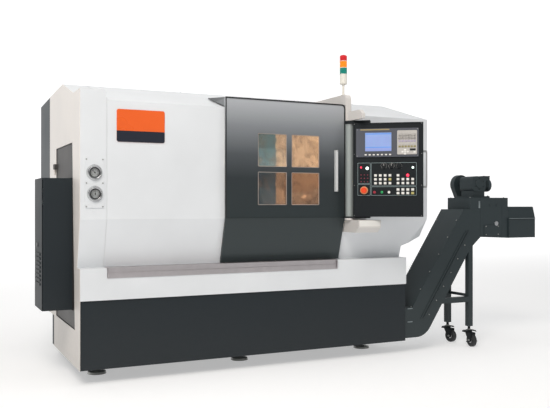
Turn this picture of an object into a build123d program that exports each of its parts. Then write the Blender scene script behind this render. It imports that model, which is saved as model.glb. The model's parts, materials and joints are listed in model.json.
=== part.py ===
from build123d import *
import math
import os

# Slant-bed CNC turning lathe with a hinged-belt chip conveyor, in millimetres.
# It is drawn with X from the left end, Y back from the front face and Z up from the floor,
# then every piece is moved so that the origin is the middle of the footprint.

# Enclosure
LENGTH = 2497.5
BASE_LENGTH = 2312.0
SHEET = 3.0
BASE_BOTTOM = 90.0
BASE_TOP = 500.0
BASE_FRONT = 10.0
BASE_REAR = 1000.0
BASE_WALL = 5.0
BASE_FLOOR = 106.0
LEDGE_TOP = 690.0
LEDGE_DEPTH = 90.0
FOLD = 980.0
FRONT_TOP = 1690.0
ROOF_FRONT_Y = 580.0
ROOF_FRONT = 1858.0
ROOF_REAR_Y = 1100.0
ROOF_REAR = 1840.0
ROOF_SLOPE = (ROOF_FRONT - FRONT_TOP) / ROOF_FRONT_Y
PILLAR_WIDTH = 156.0
PILLAR_TOP = 1750.0
SEAM = 4.0
RIGHT_PANEL_LEFT = 1797.0

# Spindle axis and slanted bed
SPINDLE_Y = 420.0
SPINDLE_Z = 1120.0
SLANT = 45.0
AXIS_ABOVE_WAYS = 260.0
SLANT_COS = math.cos(math.radians(SLANT))
BED_Y = SPINDLE_Y + AXIS_ABOVE_WAYS * SLANT_COS
BED_Z = SPINDLE_Z - AXIS_ABOVE_WAYS * SLANT_COS
BED_PLANE = Plane(origin=(0, BED_Y, BED_Z), x_dir=(1, 0, 0), z_dir=(0, -1, 1))
BED_LEFT = 300.0
BED_RIGHT = 2180.0
WAY_HEIGHT = 30.0
WAY_HALF_SPAN = 330.0
CHAMBER_LEFT = 890.0
CHAMBER_RIGHT = 2200.0
CHAMBER_BACK = 1010.0
RUNNING = 0.05
SLIDING = 0.2

# Headstock, chuck, turret and tailstock
HEAD_LEFT = 330.0
HEAD_RIGHT = 880.0
SPINDLE_R = 80.0
CHUCK_R = 127.0
CHUCK_LEFT = 900.0
CHUCK_RIGHT = 1000.0
JAW_WIDTH = 36.0
JAW_SLOT = 15.0
SPINDLE_PULLEY_R = 120.0
MOTOR_PULLEY_R = 80.0
PULLEY_LEFT = 125.0
PULLEY_RIGHT = 195.0
MOTOR_Y = 215.0
MOTOR_Z = 650.0
BELT_THICKNESS = 8.0
BELT_GAP = 0.4
TURRET_U = 340.0
DISC_LEFT = 1330.0
DISC_RIGHT = 1420.0
DISC_R = 165.0
DISC_STATIONS = 12
TOOL_COUNT = 6
SADDLE_LEFT = 1440.0
SADDLE_RIGHT = 1740.0
TAIL_LEFT = 1800.0
TAIL_RIGHT = 2050.0
QUILL_R = 45.0

# Sliding door
DOOR_LEFT = 908.0
DOOR_RIGHT = 1784.0
DOOR_FACE = -25.0
DOOR_DEPTH = 18.0
DOOR_BOTTOM = 696.0
DOOR_BOTTOM_Y = 64.0
DOOR_FOLD = 983.0
DOOR_TOP = 1752.0
DOOR_FLANGE_Y = 300.0
DOOR_FLANGE_Z = 1787.0
WINDOW_W = 208.0
WINDOW_H = 215.0
WINDOW_X = (1235.7, 1479.3)
WINDOW_Z = (1174.5, 1424.5)
PANE_LAP = 8.0
PANE_THICKNESS = 8.0
HANDLE_LEFT = 1702.0
HANDLE_RIGHT = 1718.0
HANDLE_DEPTH = 25.0
HANDLE_LOW = 1158.5
HANDLE_HIGH = 1438.5
HANDLE_END = 12.0
TRACK_LEFT = 160.0
TRACK_RIGHT = 1739.0
TRACK_LOW = 630.0

# Left end: service door, spindle end cover, gauges
HATCH = [(236, 1450), (155, 310), (834, 310), (834, 1450)]
HATCH_GAP = 3.0
HATCH_FACE = 6.0
HATCH_DEPTH = 15.0
HINGE_Y = 846.0
HINGE_X = -9.0
HINGE_Z = (430.0, 1310.0)
HINGE_HEIGHT = 70.0
HINGE_R = 8.0
HINGE_PIN_R = 4.0
HINGE_PLAY = 0.3
COVER_LEFT = -180.0
COVER_FRONT = 230.0
COVER_REAR = 546.0
COVER_LOW = 425.0
COVER_HIGH = 1230.0
COVER_SHEET = 2.5
LOUVRES = 8
LOUVRE_HOOD = 6.0
GAUGE_R = 48.0
GAUGES = [(85.0, 1257.0), (88.0, 1131.0)]

# Rear electrical cabinet
CABINET_RIGHT = 1500.0
CABINET_REAR = 1530.0
CABINET_LOW = 300.0
CABINET_HIGH = 1820.0
CABINET_DOOR = 20.0
CABINET_HINGE_X = 1507.0
CABINET_HINGE_Y = 1539.0
CABINET_HINGE_Z = (480.0, 1060.0, 1640.0)
CABINET_HINGE_R = 7.0

# Operator's pendant, swung out about its post
PENDANT_CORNER = (1793.0, -120.0, 988.0)
PENDANT_ANGLE = -37.1
PENDANT_W = 464.0
PENDANT_D = 100.0
PENDANT_H = 630.0
PENDANT_COS = math.cos(math.radians(PENDANT_ANGLE))
PENDANT_SIN = math.sin(math.radians(PENDANT_ANGLE))
POST_X = 1808.0
POST_Y = -50.0
POST_R = 28.0
POST_U = (POST_X - PENDANT_CORNER[0]) * PENDANT_COS + (POST_Y - PENDANT_CORNER[1]) * PENDANT_SIN
POST_V = (POST_Y - PENDANT_CORNER[1]) * PENDANT_COS - (POST_X - PENDANT_CORNER[0]) * PENDANT_SIN
CLAMP_R = 33.0
CLAMP_TOP = 22.0
CLAMP_LOW = 10.0
GRIP_REACH = 26.0
GRIP_GAP = 17.0
GRIP_FRONT = 22.0
GRIP_BACK = 40.0
GRIP_LOW = 193.0
GRIP_HIGH = 442.0
GRIP_END = 12.0
FRONT_PLATE = 12.0
PANEL_HOLES = {"e_stop": (73, 177, 11.1), "cycle_start": (192, 164, 9.1), "feed_hold": (142.5, 164, 9.1),
               "mode_dial": (205, 341, 3.05), "feed_dial": (255, 341, 3.05)}
RECESS = 3.0
PANEL_FACE = 1.0
HOOD_LEFT = 1789.0
HOOD_RIGHT = 1833.0
HOOD_FRONT = -30.0
ARM_LEFT = 1800.0
ARM_RIGHT = 1826.0
ARM_FRONT = -218.0
ARM_LOW = 1642.0
ARM_HIGH = 1703.0
BRACKET_LEFT = 1800.0
BRACKET_RIGHT = 1975.0
BRACKET_FRONT = -180.0
BRACKET_LOW = 880.0
BRACKET_HIGH = 965.0
BRACKET_SHEET = 4.0

# Signal light
LIGHT_X = 1814.0
LIGHT_Y = 44.0
LIGHT_R = 25.0
HOOD_TOP = 1827.0

# Chip conveyor, drawn in its side view, X and Z
TROUGH_NEAR = 16.0
TROUGH_FAR = 281.0
TROUGH_SHEET = 3.0
TROUGH_START = 400.0
INCLINE = 56.6
KNEE_X = 2493.8
TROUGH_DEPTH = 217.0
KNEE_R = 143.0
INCLINE_TOP = 1035.0
HEAD_BOX_LEFT = 2910.0
HEAD_BOX_RIGHT = 3281.0
HEAD_BOX_TOP = 1124.0
HEAD_BOX_LOW = 812.0
HEAD_BEND_X = 3010.0
HEAD_BEND_Z = 824.0
CHUTE_RIGHT = 3563.0
CHUTE_FOLD = 968.0
CHUTE_TOP = 1055.0
CHUTE_LEAN = 18.0
CHUTE_CUT = 6.0
TAIL_X = 510.0
SPROCKET_X = 3165.0
SPROCKET_Z = 925.0
SPROCKET_R = 64.0
BELT_R = 80.0
BELT_BEND_R = 200.0
BELT_RUN_Z = 208.0
BELT_ABOVE_FLOOR = 100.0
BELT_LINKS = 72
BELT_CLEAT_EVERY = 9
BELT_WING = 14.0
BELT_KNUCKLE = 6.0
SHAFT_R = 17.5
GEAR_X = 3046.0
GEAR_Z = 1231.0
MOTOR_RIGHT = 3190.0
GEARMOTOR_R = 47.0
STAND_SIZE = 40.0
STAND_LEFT = {"near": 2895.0, "far": 2873.0}
STAND_BAR_LEFT = 2897.0
CASTER_TOP = 151.0
WHEEL_R = 48.0
WHEEL_W = 30.0
CASTER_TRAIL = 32.0
CASTER_ANGLES = {"near": -93.0, "far": -79.0}

# Levelling feet
FEET_X = (170.0, 1150.0, 2140.0)
FEET_Y = (330.0, 880.0)

# The footprint runs from the end cover to the chute, and from the pendant to the cabinet door
FRONT_REACH = PENDANT_CORNER[1] + (PENDANT_W + GRIP_REACH) * PENDANT_SIN + GRIP_FRONT * PENDANT_COS
REAR_REACH = 1558.0
PLACE = Location((-(COVER_LEFT - LOUVRE_HOOD + CHUTE_RIGHT) / 2, -(FRONT_REACH + REAR_REACH) / 2, 0))
PENDANT_PLACE = Location(PENDANT_CORNER, (0, 0, PENDANT_ANGLE))


def block(x0, x1, y0, y1, z0, z1):
    """A box given by its two corners."""
    middle = Pos((x0 + x1) / 2, (y0 + y1) / 2, (z0 + z1) / 2)
    return middle * Box(x1 - x0, y1 - y0, z1 - z0)


def side_prism(outline, x0, x1):
    """An outline in Y and Z, pushed along X."""
    face = make_face(Polyline(*outline, close=True))
    return extrude(Plane.YZ.offset(x0) * face, amount=x1 - x0)


def front_prism(outline, y0, y1):
    """An outline in X and Z, pushed along Y."""
    face = make_face(Polyline(*outline, close=True))
    return extrude(Plane.XZ.offset(-y1) * face, amount=y1 - y0)


def rod_x(x0, x1, y, z, radius):
    """A round bar along X."""
    return Location(((x0 + x1) / 2, y, z), (0, 90, 0)) * Cylinder(radius, x1 - x0)


def rod_y(y0, y1, x, z, radius):
    """A round bar along Y."""
    return Location((x, (y0 + y1) / 2, z), (90, 0, 0)) * Cylinder(radius, y1 - y0)


def rod_z(z0, z1, x, y, radius):
    """A round bar along Z."""
    return Pos(x, y, (z0 + z1) / 2) * Cylinder(radius, z1 - z0)


def folded(line, thickness, x0, x1, side=Side.LEFT):
    """A sheet folded along a line in Y and Z, its thickness laid to one side."""
    outline = offset(Polyline(*line), amount=thickness, side=side, kind=Kind.INTERSECTION)
    return extrude(Plane.YZ.offset(x0) * make_face(outline), amount=x1 - x0)


def enclosure_volume(inset):
    """The white enclosure's outer form, drawn in by an inset on every face."""
    outline = Polyline((LEDGE_DEPTH, BASE_TOP), (ROOF_REAR_Y, BASE_TOP), (ROOF_REAR_Y, ROOF_REAR),
                       (ROOF_FRONT_Y, ROOF_FRONT), (0, FRONT_TOP), (0, FOLD),
                       (LEDGE_DEPTH, LEDGE_TOP), close=True)
    face = make_face(outline)
    if inset:
        face = offset(face, amount=-inset, kind=Kind.INTERSECTION)
    body = extrude(Plane.YZ.offset(SHEET) * face, amount=LENGTH - inset - SHEET)
    # The right end overhangs the base, with a slanted underside and a cut corner
    under = [(BASE_LENGTH - inset, 0), (BASE_LENGTH - inset, 770 + inset), (LENGTH, 834 + inset),
             (LENGTH + 10, 834 + inset), (LENGTH + 10, 0)]
    body -= front_prism(under, -200, 1300)
    corner = Plane(origin=(LENGTH, 6 + inset * 1.5, 960), z_dir=(8860, -17325, -12237))
    wedge = block(BASE_LENGTH + 1, LENGTH + 10, -20, 260, LEDGE_TOP + 40, FOLD + 60)
    body -= split(wedge, bisect_by=corner, keep=Keep.TOP)
    return body


def base_frame():
    """Welded base: a closed tray with a tunnel for the conveyor and a chip opening on top."""
    body = block(SHEET, BASE_LENGTH, BASE_FRONT, BASE_REAR, BASE_BOTTOM, BASE_TOP)
    inner_front = BASE_FRONT + BASE_WALL
    body -= block(SHEET + BASE_WALL, BASE_LENGTH - BASE_WALL, inner_front, BASE_REAR - BASE_WALL,
                  BASE_FLOOR, BASE_TOP - 6)
    # A pocket in the left wall leaves room for the service door
    body += block(SHEET, 40, 140, 850, 296, BASE_TOP)
    body -= block(0, 35, 145, 842, 300, BASE_TOP + 5)
    body -= block(BASE_LENGTH - 20, BASE_LENGTH + 20, inner_front, TROUGH_FAR + 4,
                  BASE_FLOOR, BASE_FLOOR + TROUGH_DEPTH + 4)
    body -= block(CHAMBER_LEFT + 20, CHAMBER_RIGHT - 60, 98, 278, BASE_TOP - 10, BASE_TOP + 10)
    # Cross ribs under the bed
    for x in (600, 1150, 1700):
        body += block(x, x + 12, TROUGH_FAR + 40, BASE_REAR - BASE_WALL, BASE_FLOOR, BASE_TOP - 6)
    return body


def leveling_feet():
    feet = []
    profile = make_face(Polyline((0, 0), (60, 0), (56, 14), (12, 22), (12, 66), (0, 66), close=True))
    for x in FEET_X:
        for y in FEET_Y:
            foot = revolve(Plane.XZ * profile, axis=Axis.Z)
            nut = extrude(Plane.XY.offset(64) * RegularPolygon(27, 6), amount=BASE_BOTTOM - 64)
            feet.append(Pos(x, y, 0) * (foot + nut))
    return Compound(feet)


def front_skirt():
    """The white lower box in front of the enclosure, folded over to the ledge."""
    line = [(40, BASE_TOP), (0, BASE_TOP), (0, LEDGE_TOP), (LEDGE_DEPTH, LEDGE_TOP),
            (LEDGE_DEPTH, BASE_TOP)]
    skirt = folded(line, SHEET, SHEET, BASE_LENGTH, Side.RIGHT)
    skirt += block(BASE_LENGTH - SHEET, BASE_LENGTH, 0, LEDGE_DEPTH, BASE_TOP, LEDGE_TOP)
    return skirt


def hatch_outline(inset):
    face = make_face(Polyline(*HATCH, close=True))
    return offset(face, amount=-inset, kind=Kind.INTERSECTION) if inset else face


def left_end_panel():
    outline = [(0, BASE_BOTTOM), (918, BASE_BOTTOM), (918, CABINET_LOW), (ROOF_REAR_Y, CABINET_LOW),
               (ROOF_REAR_Y, ROOF_REAR), (ROOF_FRONT_Y, ROOF_FRONT),
               ((PILLAR_TOP - FRONT_TOP) / ROOF_SLOPE, PILLAR_TOP), (0, PILLAR_TOP), (0, FOLD),
               (LEDGE_DEPTH, LEDGE_TOP), (0, LEDGE_TOP)]
    panel = side_prism(outline, 0, SHEET)
    panel -= extrude(Plane.YZ.offset(-5) * hatch_outline(0), amount=20)
    for z in HINGE_Z:
        low = z - HINGE_HEIGHT / 2
        panel += block(-4, 0, HINGE_Y + 10, HINGE_Y + 38, low, z + HINGE_HEIGHT / 2)
        panel += rod_z(low, z, HINGE_X, HINGE_Y, HINGE_R)
        panel += rod_z(z - 1, z + HINGE_HEIGHT / 2 + 2, HINGE_X, HINGE_Y, HINGE_PIN_R)
        panel += block(-7, 0, HINGE_Y - 2, HINGE_Y + 12, low, z)
    return panel


def side_door():
    """Service door over the belt drive: a pan with a window for the end cover."""
    outer = hatch_outline(HATCH_GAP)
    inner = hatch_outline(HATCH_GAP + SHEET)
    pan = extrude(Plane.YZ.offset(HATCH_FACE) * outer, amount=HATCH_DEPTH)
    pan -= extrude(Plane.YZ.offset(HATCH_FACE + SHEET) * inner, amount=HATCH_DEPTH)
    pan -= block(-10, 40, COVER_FRONT + 40, COVER_REAR - 20, COVER_LOW + 20, COVER_HIGH - 20)
    for z in HINGE_Z:
        top = z + HINGE_HEIGHT / 2
        pan += rod_z(z + HINGE_PLAY, top, HINGE_X, HINGE_Y, HINGE_R)
        pan += block(-13, -8, 806, HINGE_Y, z + HINGE_PLAY, top)
        pan += block(-13, HATCH_FACE + SHEET, 806, 812, z + HINGE_PLAY, top)
        pan -= rod_z(z, top + 1, HINGE_X, HINGE_Y, HINGE_PIN_R + RUNNING)
    return pan


def spindle_end_cover():
    """Sheet box over the pulley end of the spindle, with a louvred face and a latch plate."""
    cover = block(COVER_LEFT, HATCH_FACE, COVER_FRONT, COVER_REAR, COVER_LOW, COVER_HIGH)
    vertical = cover.edges().filter_by(Axis.Z).sort_by(Axis.X)[:2]
    cover = fillet(vertical, 12)
    cover -= block(COVER_LEFT + COVER_SHEET, HATCH_FACE + 5, COVER_FRONT + COVER_SHEET,
                   COVER_REAR - COVER_SHEET, COVER_LOW + COVER_SHEET, COVER_HIGH - COVER_SHEET)
    for step in range(LOUVRES):
        z = 575 + step * 26
        cover -= block(COVER_LEFT - 5, COVER_LEFT + 5, COVER_FRONT + 60, COVER_REAR - 60, z, z + 8)
        hood = side_prism([(COVER_FRONT + 56, z), (COVER_REAR - 56, z),
                           (COVER_REAR - 60, z + 14), (COVER_FRONT + 60, z + 14)],
                          COVER_LEFT - LOUVRE_HOOD, COVER_LEFT + 0.5)
        hood -= block(COVER_LEFT - 4.5, COVER_LEFT + 1, COVER_FRONT + 58, COVER_REAR - 58,
                      z - 1, z + 8)
        cover += hood
    cover += block(COVER_LEFT - 0.5, COVER_LEFT + 1, COVER_FRONT + 40, COVER_FRONT + 210, 805, 835)
    return cover


def left_pillar():
    line = [(LEDGE_DEPTH, LEDGE_TOP), (0, FOLD), (0, PILLAR_TOP),
            ((PILLAR_TOP - FRONT_TOP) / ROOF_SLOPE, PILLAR_TOP), (ROOF_FRONT_Y, ROOF_FRONT)]
    pillar = folded(line, SHEET, SHEET, PILLAR_WIDTH, Side.RIGHT)
    pillar -= block(0, PILLAR_WIDTH + 1, ROOF_FRONT_Y, ROOF_FRONT_Y + 20, FRONT_TOP, 2000)
    cheek = [(LEDGE_DEPTH, LEDGE_TOP), (0, FOLD), (0, PILLAR_TOP),
             ((PILLAR_TOP - FRONT_TOP) / ROOF_SLOPE, PILLAR_TOP), (30, FRONT_TOP - 20), (30, FOLD),
             (LEDGE_DEPTH + 30, LEDGE_TOP)]
    pillar += side_prism(cheek, PILLAR_WIDTH - SHEET, PILLAR_WIDTH)
    # The top corner beside the main panel is rounded
    corner = block(PILLAR_WIDTH - 22, PILLAR_WIDTH + 1, -1, 260, PILLAR_TOP - 22, PILLAR_TOP + 1)
    corner -= rod_y(-2, 261, PILLAR_WIDTH - 22, PILLAR_TOP - 22, 22)
    pillar -= corner & block(PILLAR_WIDTH - 22, PILLAR_WIDTH + 1, -1, 200,
                             PILLAR_TOP - 22, PILLAR_TOP + 1)
    for x, z in GAUGES:
        pillar -= rod_y(-5, 20, x, z, 34)
    return pillar


def gauge_plate():
    plate = block(30, 141.5, -4, 0, 1048, 1343)
    plate = fillet(plate.edges().filter_by(Axis.Y), 4)
    for x, z in GAUGES:
        plate -= rod_y(-5, 1, x, z, 34)
    return plate


def pressure_gauges():
    """Two dial gauges: a flanged bezel in front of the plate and a body behind it."""
    dials = []
    for x, z in GAUGES:
        profile = make_face(Polyline((0, 34), (33.8, 34), (33.8, -4), (GAUGE_R, -4), (40, -18),
                                     (34, -18), (34, -10), (0, -10), close=True))
        dial = revolve(profile, axis=Axis.Y)
        dials.append(Pos(x, 0, z) * dial)
    return Compound(dials)


def nameplate():
    plate = block(217, 512.5, -3, 0, 1445, 1640)
    return fillet(plate.edges().filter_by(Axis.Y), 12)


def door_opening():
    return block(940, 1765, -50, 120, 800, 1640)


def enclosure_panels():
    """The enclosure's sheets, cut from one folded shell along their real seams."""
    shell = enclosure_volume(0) - enclosure_volume(SHEET)
    low = LEDGE_TOP
    main_zone = block(PILLAR_WIDTH + SEAM, RIGHT_PANEL_LEFT, -60, ROOF_FRONT_Y, low, 2000)
    right_zone = block(RIGHT_PANEL_LEFT, LENGTH + 5, -60, ROOF_FRONT_Y, low, 2000)
    right_zone += block(BASE_LENGTH, LENGTH + 5, -60, ROOF_REAR_Y + 5, BASE_TOP + SHEET, 2000)
    right_zone += block(BASE_LENGTH - SHEET, LENGTH + 5, LEDGE_DEPTH, ROOF_REAR_Y + 5,
                        BASE_TOP, 2000)
    roof_zone = block(SHEET, BASE_LENGTH - SHEET, ROOF_FRONT_Y, ROOF_REAR_Y + 5, BASE_TOP, 2000)
    roof_zone -= block(0, LENGTH, -60, ROOF_REAR_Y - SHEET, BASE_TOP - 5, BASE_TOP + SHEET)
    main = (shell & main_zone) - door_opening()
    # Return flange round the door opening
    rim = block(937, 1768, 0, 24, 850, 1643) - block(940, 1765, -5, 30, 800, 1640)
    main += rim & enclosure_volume(1)
    return main, shell & right_zone, shell & roof_zone


def cabinet_shell():
    outline = [(ROOF_REAR_Y, CABINET_LOW), (CABINET_REAR, CABINET_LOW),
               (CABINET_REAR, CABINET_HIGH), (ROOF_REAR_Y, CABINET_HIGH + 18)]
    inner = [(ROOF_REAR_Y + SHEET, CABINET_LOW + SHEET), (CABINET_REAR + 5, CABINET_LOW + SHEET),
             (CABINET_REAR + 5, CABINET_HIGH - SHEET), (ROOF_REAR_Y + SHEET, CABINET_HIGH + 14)]
    shell = side_prism(outline, 0, CABINET_RIGHT)
    shell -= side_prism(inner, SHEET, CABINET_RIGHT - SHEET)
    # Mounting plate with the drives and the terminal rows
    shell += block(60, CABINET_RIGHT - 60, ROOF_REAR_Y + SHEET, ROOF_REAR_Y + 12, 380, 1740)
    for x in (140, 330, 520, 760, 1000, 1240):
        shell += block(x, x + 150, ROOF_REAR_Y + 12, ROOF_REAR_Y + 200, 1250, 1620)
    shell += block(140, 1390, ROOF_REAR_Y + 12, ROOF_REAR_Y + 90, 980, 1080)
    shell += block(140, 1390, ROOF_REAR_Y + 12, ROOF_REAR_Y + 80, 700, 780)
    for z in CABINET_HINGE_Z:
        low = z - HINGE_HEIGHT / 2
        shell += block(CABINET_RIGHT - 1, CABINET_RIGHT + 4, CABINET_REAR - 20, CABINET_HINGE_Y - 3, low, z)
        shell += rod_z(low, z, CABINET_HINGE_X, CABINET_HINGE_Y, CABINET_HINGE_R)
        shell += rod_z(z - 1, z + HINGE_HEIGHT / 2 + 2, CABINET_HINGE_X, CABINET_HINGE_Y, HINGE_PIN_R)
    return shell


def cabinet_door():
    outer = block(2, CABINET_RIGHT - 2, CABINET_REAR + 1, CABINET_REAR + CABINET_DOOR,
                  CABINET_LOW + 2, CABINET_HIGH - 2)
    outer -= block(4, CABINET_RIGHT - 4, CABINET_REAR, CABINET_REAR + CABINET_DOOR - 2,
                   CABINET_LOW + 4, CABINET_HIGH - 4)
    # Two air grilles and a lever handle
    for low in (400, 1560):
        for step in range(6):
            z = low + step * 24
            outer -= block(1050, 1350, CABINET_REAR + 10, CABINET_REAR + 30, z, z + 9)
    outer += block(60, 90, CABINET_REAR + CABINET_DOOR - 1, REAR_REACH, 1000, 1160)
    for z in CABINET_HINGE_Z:
        low = z + HINGE_PLAY
        top = z + HINGE_HEIGHT / 2
        outer += block(CABINET_RIGHT - 3, CABINET_HINGE_X - 3, CABINET_HINGE_Y - 4, CABINET_HINGE_Y + 4,
                       low, top)
        outer += rod_z(low, top, CABINET_HINGE_X, CABINET_HINGE_Y, CABINET_HINGE_R)
        outer -= rod_z(z, top + 1, CABINET_HINGE_X, CABINET_HINGE_Y, HINGE_PIN_R + RUNNING)
    return outer


def door_track():
    line = [(-4, TRACK_LOW), (-4, LEDGE_TOP + 4), (LEDGE_DEPTH - 14, LEDGE_TOP + 4)]
    return folded(line, 4, TRACK_LEFT, TRACK_RIGHT, Side.RIGHT)


def door_line(depth):
    """The door's section at a depth behind its face, from the track to the top flange."""
    slant = (DOOR_FACE - DOOR_BOTTOM_Y) / (DOOR_FOLD - DOOR_BOTTOM)
    shift = depth * math.sqrt(1 + slant ** 2)
    return [(DOOR_BOTTOM_Y + shift, DOOR_BOTTOM), (DOOR_FACE + depth, DOOR_FOLD + depth * 0.15),
            (DOOR_FACE + depth, DOOR_TOP - depth), (DOOR_FLANGE_Y, DOOR_FLANGE_Z - depth)]


def door_shell():
    """Sliding door: one skin with a rim all round, four window openings and a top flange."""
    skin_line = door_line(0) + door_line(SHEET)[::-1]
    rim_line = door_line(0)[:3] + door_line(DOOR_DEPTH)[2::-1]
    door = side_prism(skin_line, DOOR_LEFT, DOOR_RIGHT)
    for x in (DOOR_LEFT, DOOR_RIGHT - SHEET):
        door += side_prism(rim_line, x, x + SHEET)
        cheek = [(DOOR_FACE, 1690), (DOOR_FACE, DOOR_TOP), (DOOR_FLANGE_Y, DOOR_FLANGE_Z),
                 (DOOR_FLANGE_Y, DOOR_FLANGE_Z - 5), (0, FRONT_TOP + 8), (-6, 1690)]
        door += side_prism(cheek, x, x + SHEET)
    door += block(DOOR_LEFT, DOOR_RIGHT, DOOR_BOTTOM_Y, DOOR_BOTTOM_Y + DOOR_DEPTH,
                  DOOR_BOTTOM, DOOR_BOTTOM + SHEET)
    # Frames round the windows hold the panes against the skin
    lip = PANE_LAP + 6
    for x in WINDOW_X:
        for z in WINDOW_Z:
            half_w = WINDOW_W / 2
            half_h = WINDOW_H / 2
            frame = block(x - half_w - lip, x + half_w + lip, DOOR_FACE + 1, DOOR_FACE + DOOR_DEPTH - 2,
                          z - half_h - lip, z + half_h + lip)
            frame -= block(x - half_w - PANE_LAP, x + half_w + PANE_LAP, DOOR_FACE + SHEET,
                           DOOR_FACE + 30, z - half_h - PANE_LAP, z + half_h + PANE_LAP)
            opening = block(x - half_w, x + half_w, DOOR_FACE - 5, DOOR_FACE + 30,
                            z - half_h, z + half_h)
            opening = fillet(opening.edges().filter_by(Axis.Y), 6)
            door += frame
            door -= opening
    return door


def window_panes():
    panes = []
    for x in WINDOW_X:
        for z in WINDOW_Z:
            half_w = WINDOW_W / 2 + PANE_LAP
            half_h = WINDOW_H / 2 + PANE_LAP
            panes.append(block(x - half_w, x + half_w, DOOR_FACE + SHEET,
                               DOOR_FACE + SHEET + PANE_THICKNESS, z - half_h, z + half_h))
    return Compound(panes)


def door_handle():
    """Finger pull: an upright channel on the door, hollow towards its right side."""
    front = DOOR_FACE - HANDLE_DEPTH
    pull = block(HANDLE_LEFT, HANDLE_RIGHT, front, DOOR_FACE, HANDLE_LOW, HANDLE_HIGH)
    pull = chamfer(pull.edges().filter_by(Axis.Z).sort_by(Axis.Y)[:2], 2)
    return pull - block(HANDLE_LEFT + 4, HANDLE_RIGHT + 1, front + 5, DOOR_FACE + 1,
                        HANDLE_LOW + HANDLE_END, HANDLE_HIGH - HANDLE_END)


def hood_column():
    """Beige duct beside the door, on the roof slope, with a rounded front."""
    outline = [(HOOD_FRONT, ARM_LOW), (HOOD_FRONT, HOOD_TOP), (472, HOOD_TOP), (0, FRONT_TOP + 0.2),
               (0, ARM_LOW)]
    hood = side_prism(outline, HOOD_LEFT, HOOD_RIGHT)
    top_edges = hood.edges().filter_by(Axis.X).filter_by(lambda e: e.center().Z > HOOD_TOP - 1)
    return fillet(top_edges.sort_by(Axis.Y)[0], 34)


def pendant_post():
    """Upper arm, round post and lower bracket of the pendant, one weldment."""
    arm = side_prism([(HOOD_FRONT, ARM_LOW), (ARM_FRONT + 6, ARM_LOW), (ARM_FRONT, ARM_LOW + 9),
                      (ARM_FRONT, ARM_HIGH - 28), (ARM_FRONT + 31, ARM_HIGH), (HOOD_FRONT, ARM_HIGH)],
                     ARM_LEFT, ARM_RIGHT)
    wall = BRACKET_SHEET
    outer = [(slanted_front(BRACKET_HIGH), BRACKET_HIGH), (BRACKET_FRONT, BRACKET_HIGH),
             (BRACKET_FRONT, BRACKET_HIGH - 50), (BRACKET_FRONT + 40, BRACKET_LOW),
             (slanted_front(BRACKET_LOW), BRACKET_LOW)]
    inner = [(LEDGE_DEPTH, BRACKET_HIGH - wall), (BRACKET_FRONT + wall, BRACKET_HIGH - wall),
             (BRACKET_FRONT + wall, BRACKET_HIGH - 48), (BRACKET_FRONT + 42, BRACKET_LOW + wall),
             (LEDGE_DEPTH, BRACKET_LOW + wall)]
    bracket = side_prism(outer, BRACKET_LEFT, BRACKET_RIGHT)
    bracket -= side_prism(inner, BRACKET_LEFT + wall, BRACKET_RIGHT - wall)
    collar = rod_z(BRACKET_HIGH - 1, BRACKET_HIGH + 12.5, POST_X, POST_Y, POST_R + 5)
    post = rod_z(BRACKET_HIGH - 1, ARM_LOW, POST_X, POST_Y, POST_R)
    return arm + bracket + collar + post


def slanted_front(z):
    """Y of the enclosure's slanted lower front at a height, with a hair of room."""
    return LEDGE_DEPTH * (FOLD - z) / (FOLD - LEDGE_TOP) - RUNNING


def clamp_plate(low, high):
    """A plate on the pendant's end whose eye turns on the post."""
    edges = [CenterArc((POST_U, POST_V), CLAMP_R, 90, 180), Line((POST_U, POST_V + CLAMP_R),
             (110, POST_V + 30)), Line((POST_U, POST_V - CLAMP_R), (110, POST_V - 40)),
             Line((110, POST_V - 40), (110, POST_V + 30))]
    plate = extrude(Plane.XY.offset(low) * make_face(edges), amount=high - low)
    return plate - rod_z(low - 1, high + 1, POST_U, POST_V, POST_R + RUNNING)


def pendant_box():
    """Pendant housing: a folded box with a recessed front, clamp plates and a side handle."""
    body = block(0, PENDANT_W, 0, PENDANT_D, 0, PENDANT_H)
    body = fillet(body.edges().filter_by(Axis.Z), 5)
    body -= block(9, PENDANT_W - 9, -1, RECESS, 9, PENDANT_H - 9)
    body -= block(5, PENDANT_W - 5, FRONT_PLATE, PENDANT_D - 3, 5, PENDANT_H - 5)
    body += block(26, 424, PANEL_FACE, RECESS + 1, 138, 368)
    # The third dial, the white knob and the key blocks don't part from the panel
    body += rod_y(-14, PANEL_FACE + 1, 305, 341, 14)
    body += rod_y(-10, PANEL_FACE + 1, 396, 328, 10)
    body += rod_y(-2, PANEL_FACE + 1, 73, 177, 27)
    for column in range(4):
        for row in range(3):
            for left in (140, 289):
                u = left + column * 32
                z = 216 + row * 26
                body += block(u, u + 19, -2, PANEL_FACE + 1, z, z + 17)
    for u, z, radius in PANEL_HOLES.values():
        body -= rod_y(-5, FRONT_PLATE + 1, u, z, radius)
    body += clamp_plate(PENDANT_H, PENDANT_H + CLAMP_TOP)
    body += clamp_plate(-CLAMP_LOW, 0)
    handle = block(PENDANT_W - 1, PENDANT_W + GRIP_REACH, GRIP_FRONT, GRIP_BACK, GRIP_LOW, GRIP_HIGH)
    handle = fillet(handle.edges().filter_by(Axis.Y).sort_by(Axis.X)[2:], 12)
    body += handle - block(PENDANT_W, PENDANT_W + GRIP_GAP, GRIP_FRONT - 1, GRIP_BACK + 1,
                           GRIP_LOW + GRIP_END, GRIP_HIGH - GRIP_END)
    return PENDANT_PLACE * body


def control_unit():
    """Screen and keypad unit with a recessed display."""
    unit = block(20, 434, -6, RECESS, 400, 591)
    unit = fillet(unit.edges().filter_by(Axis.Y), 6)
    unit -= block(78, 257, -7, -2, 437, 566)
    unit += block(296, 420, -9, -5, 418, 572)
    for key in range(7):
        u = 76 + key * 27
        unit += block(u, u + 17, -9, -5, 409, 421)
    return PENDANT_PLACE * unit


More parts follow.
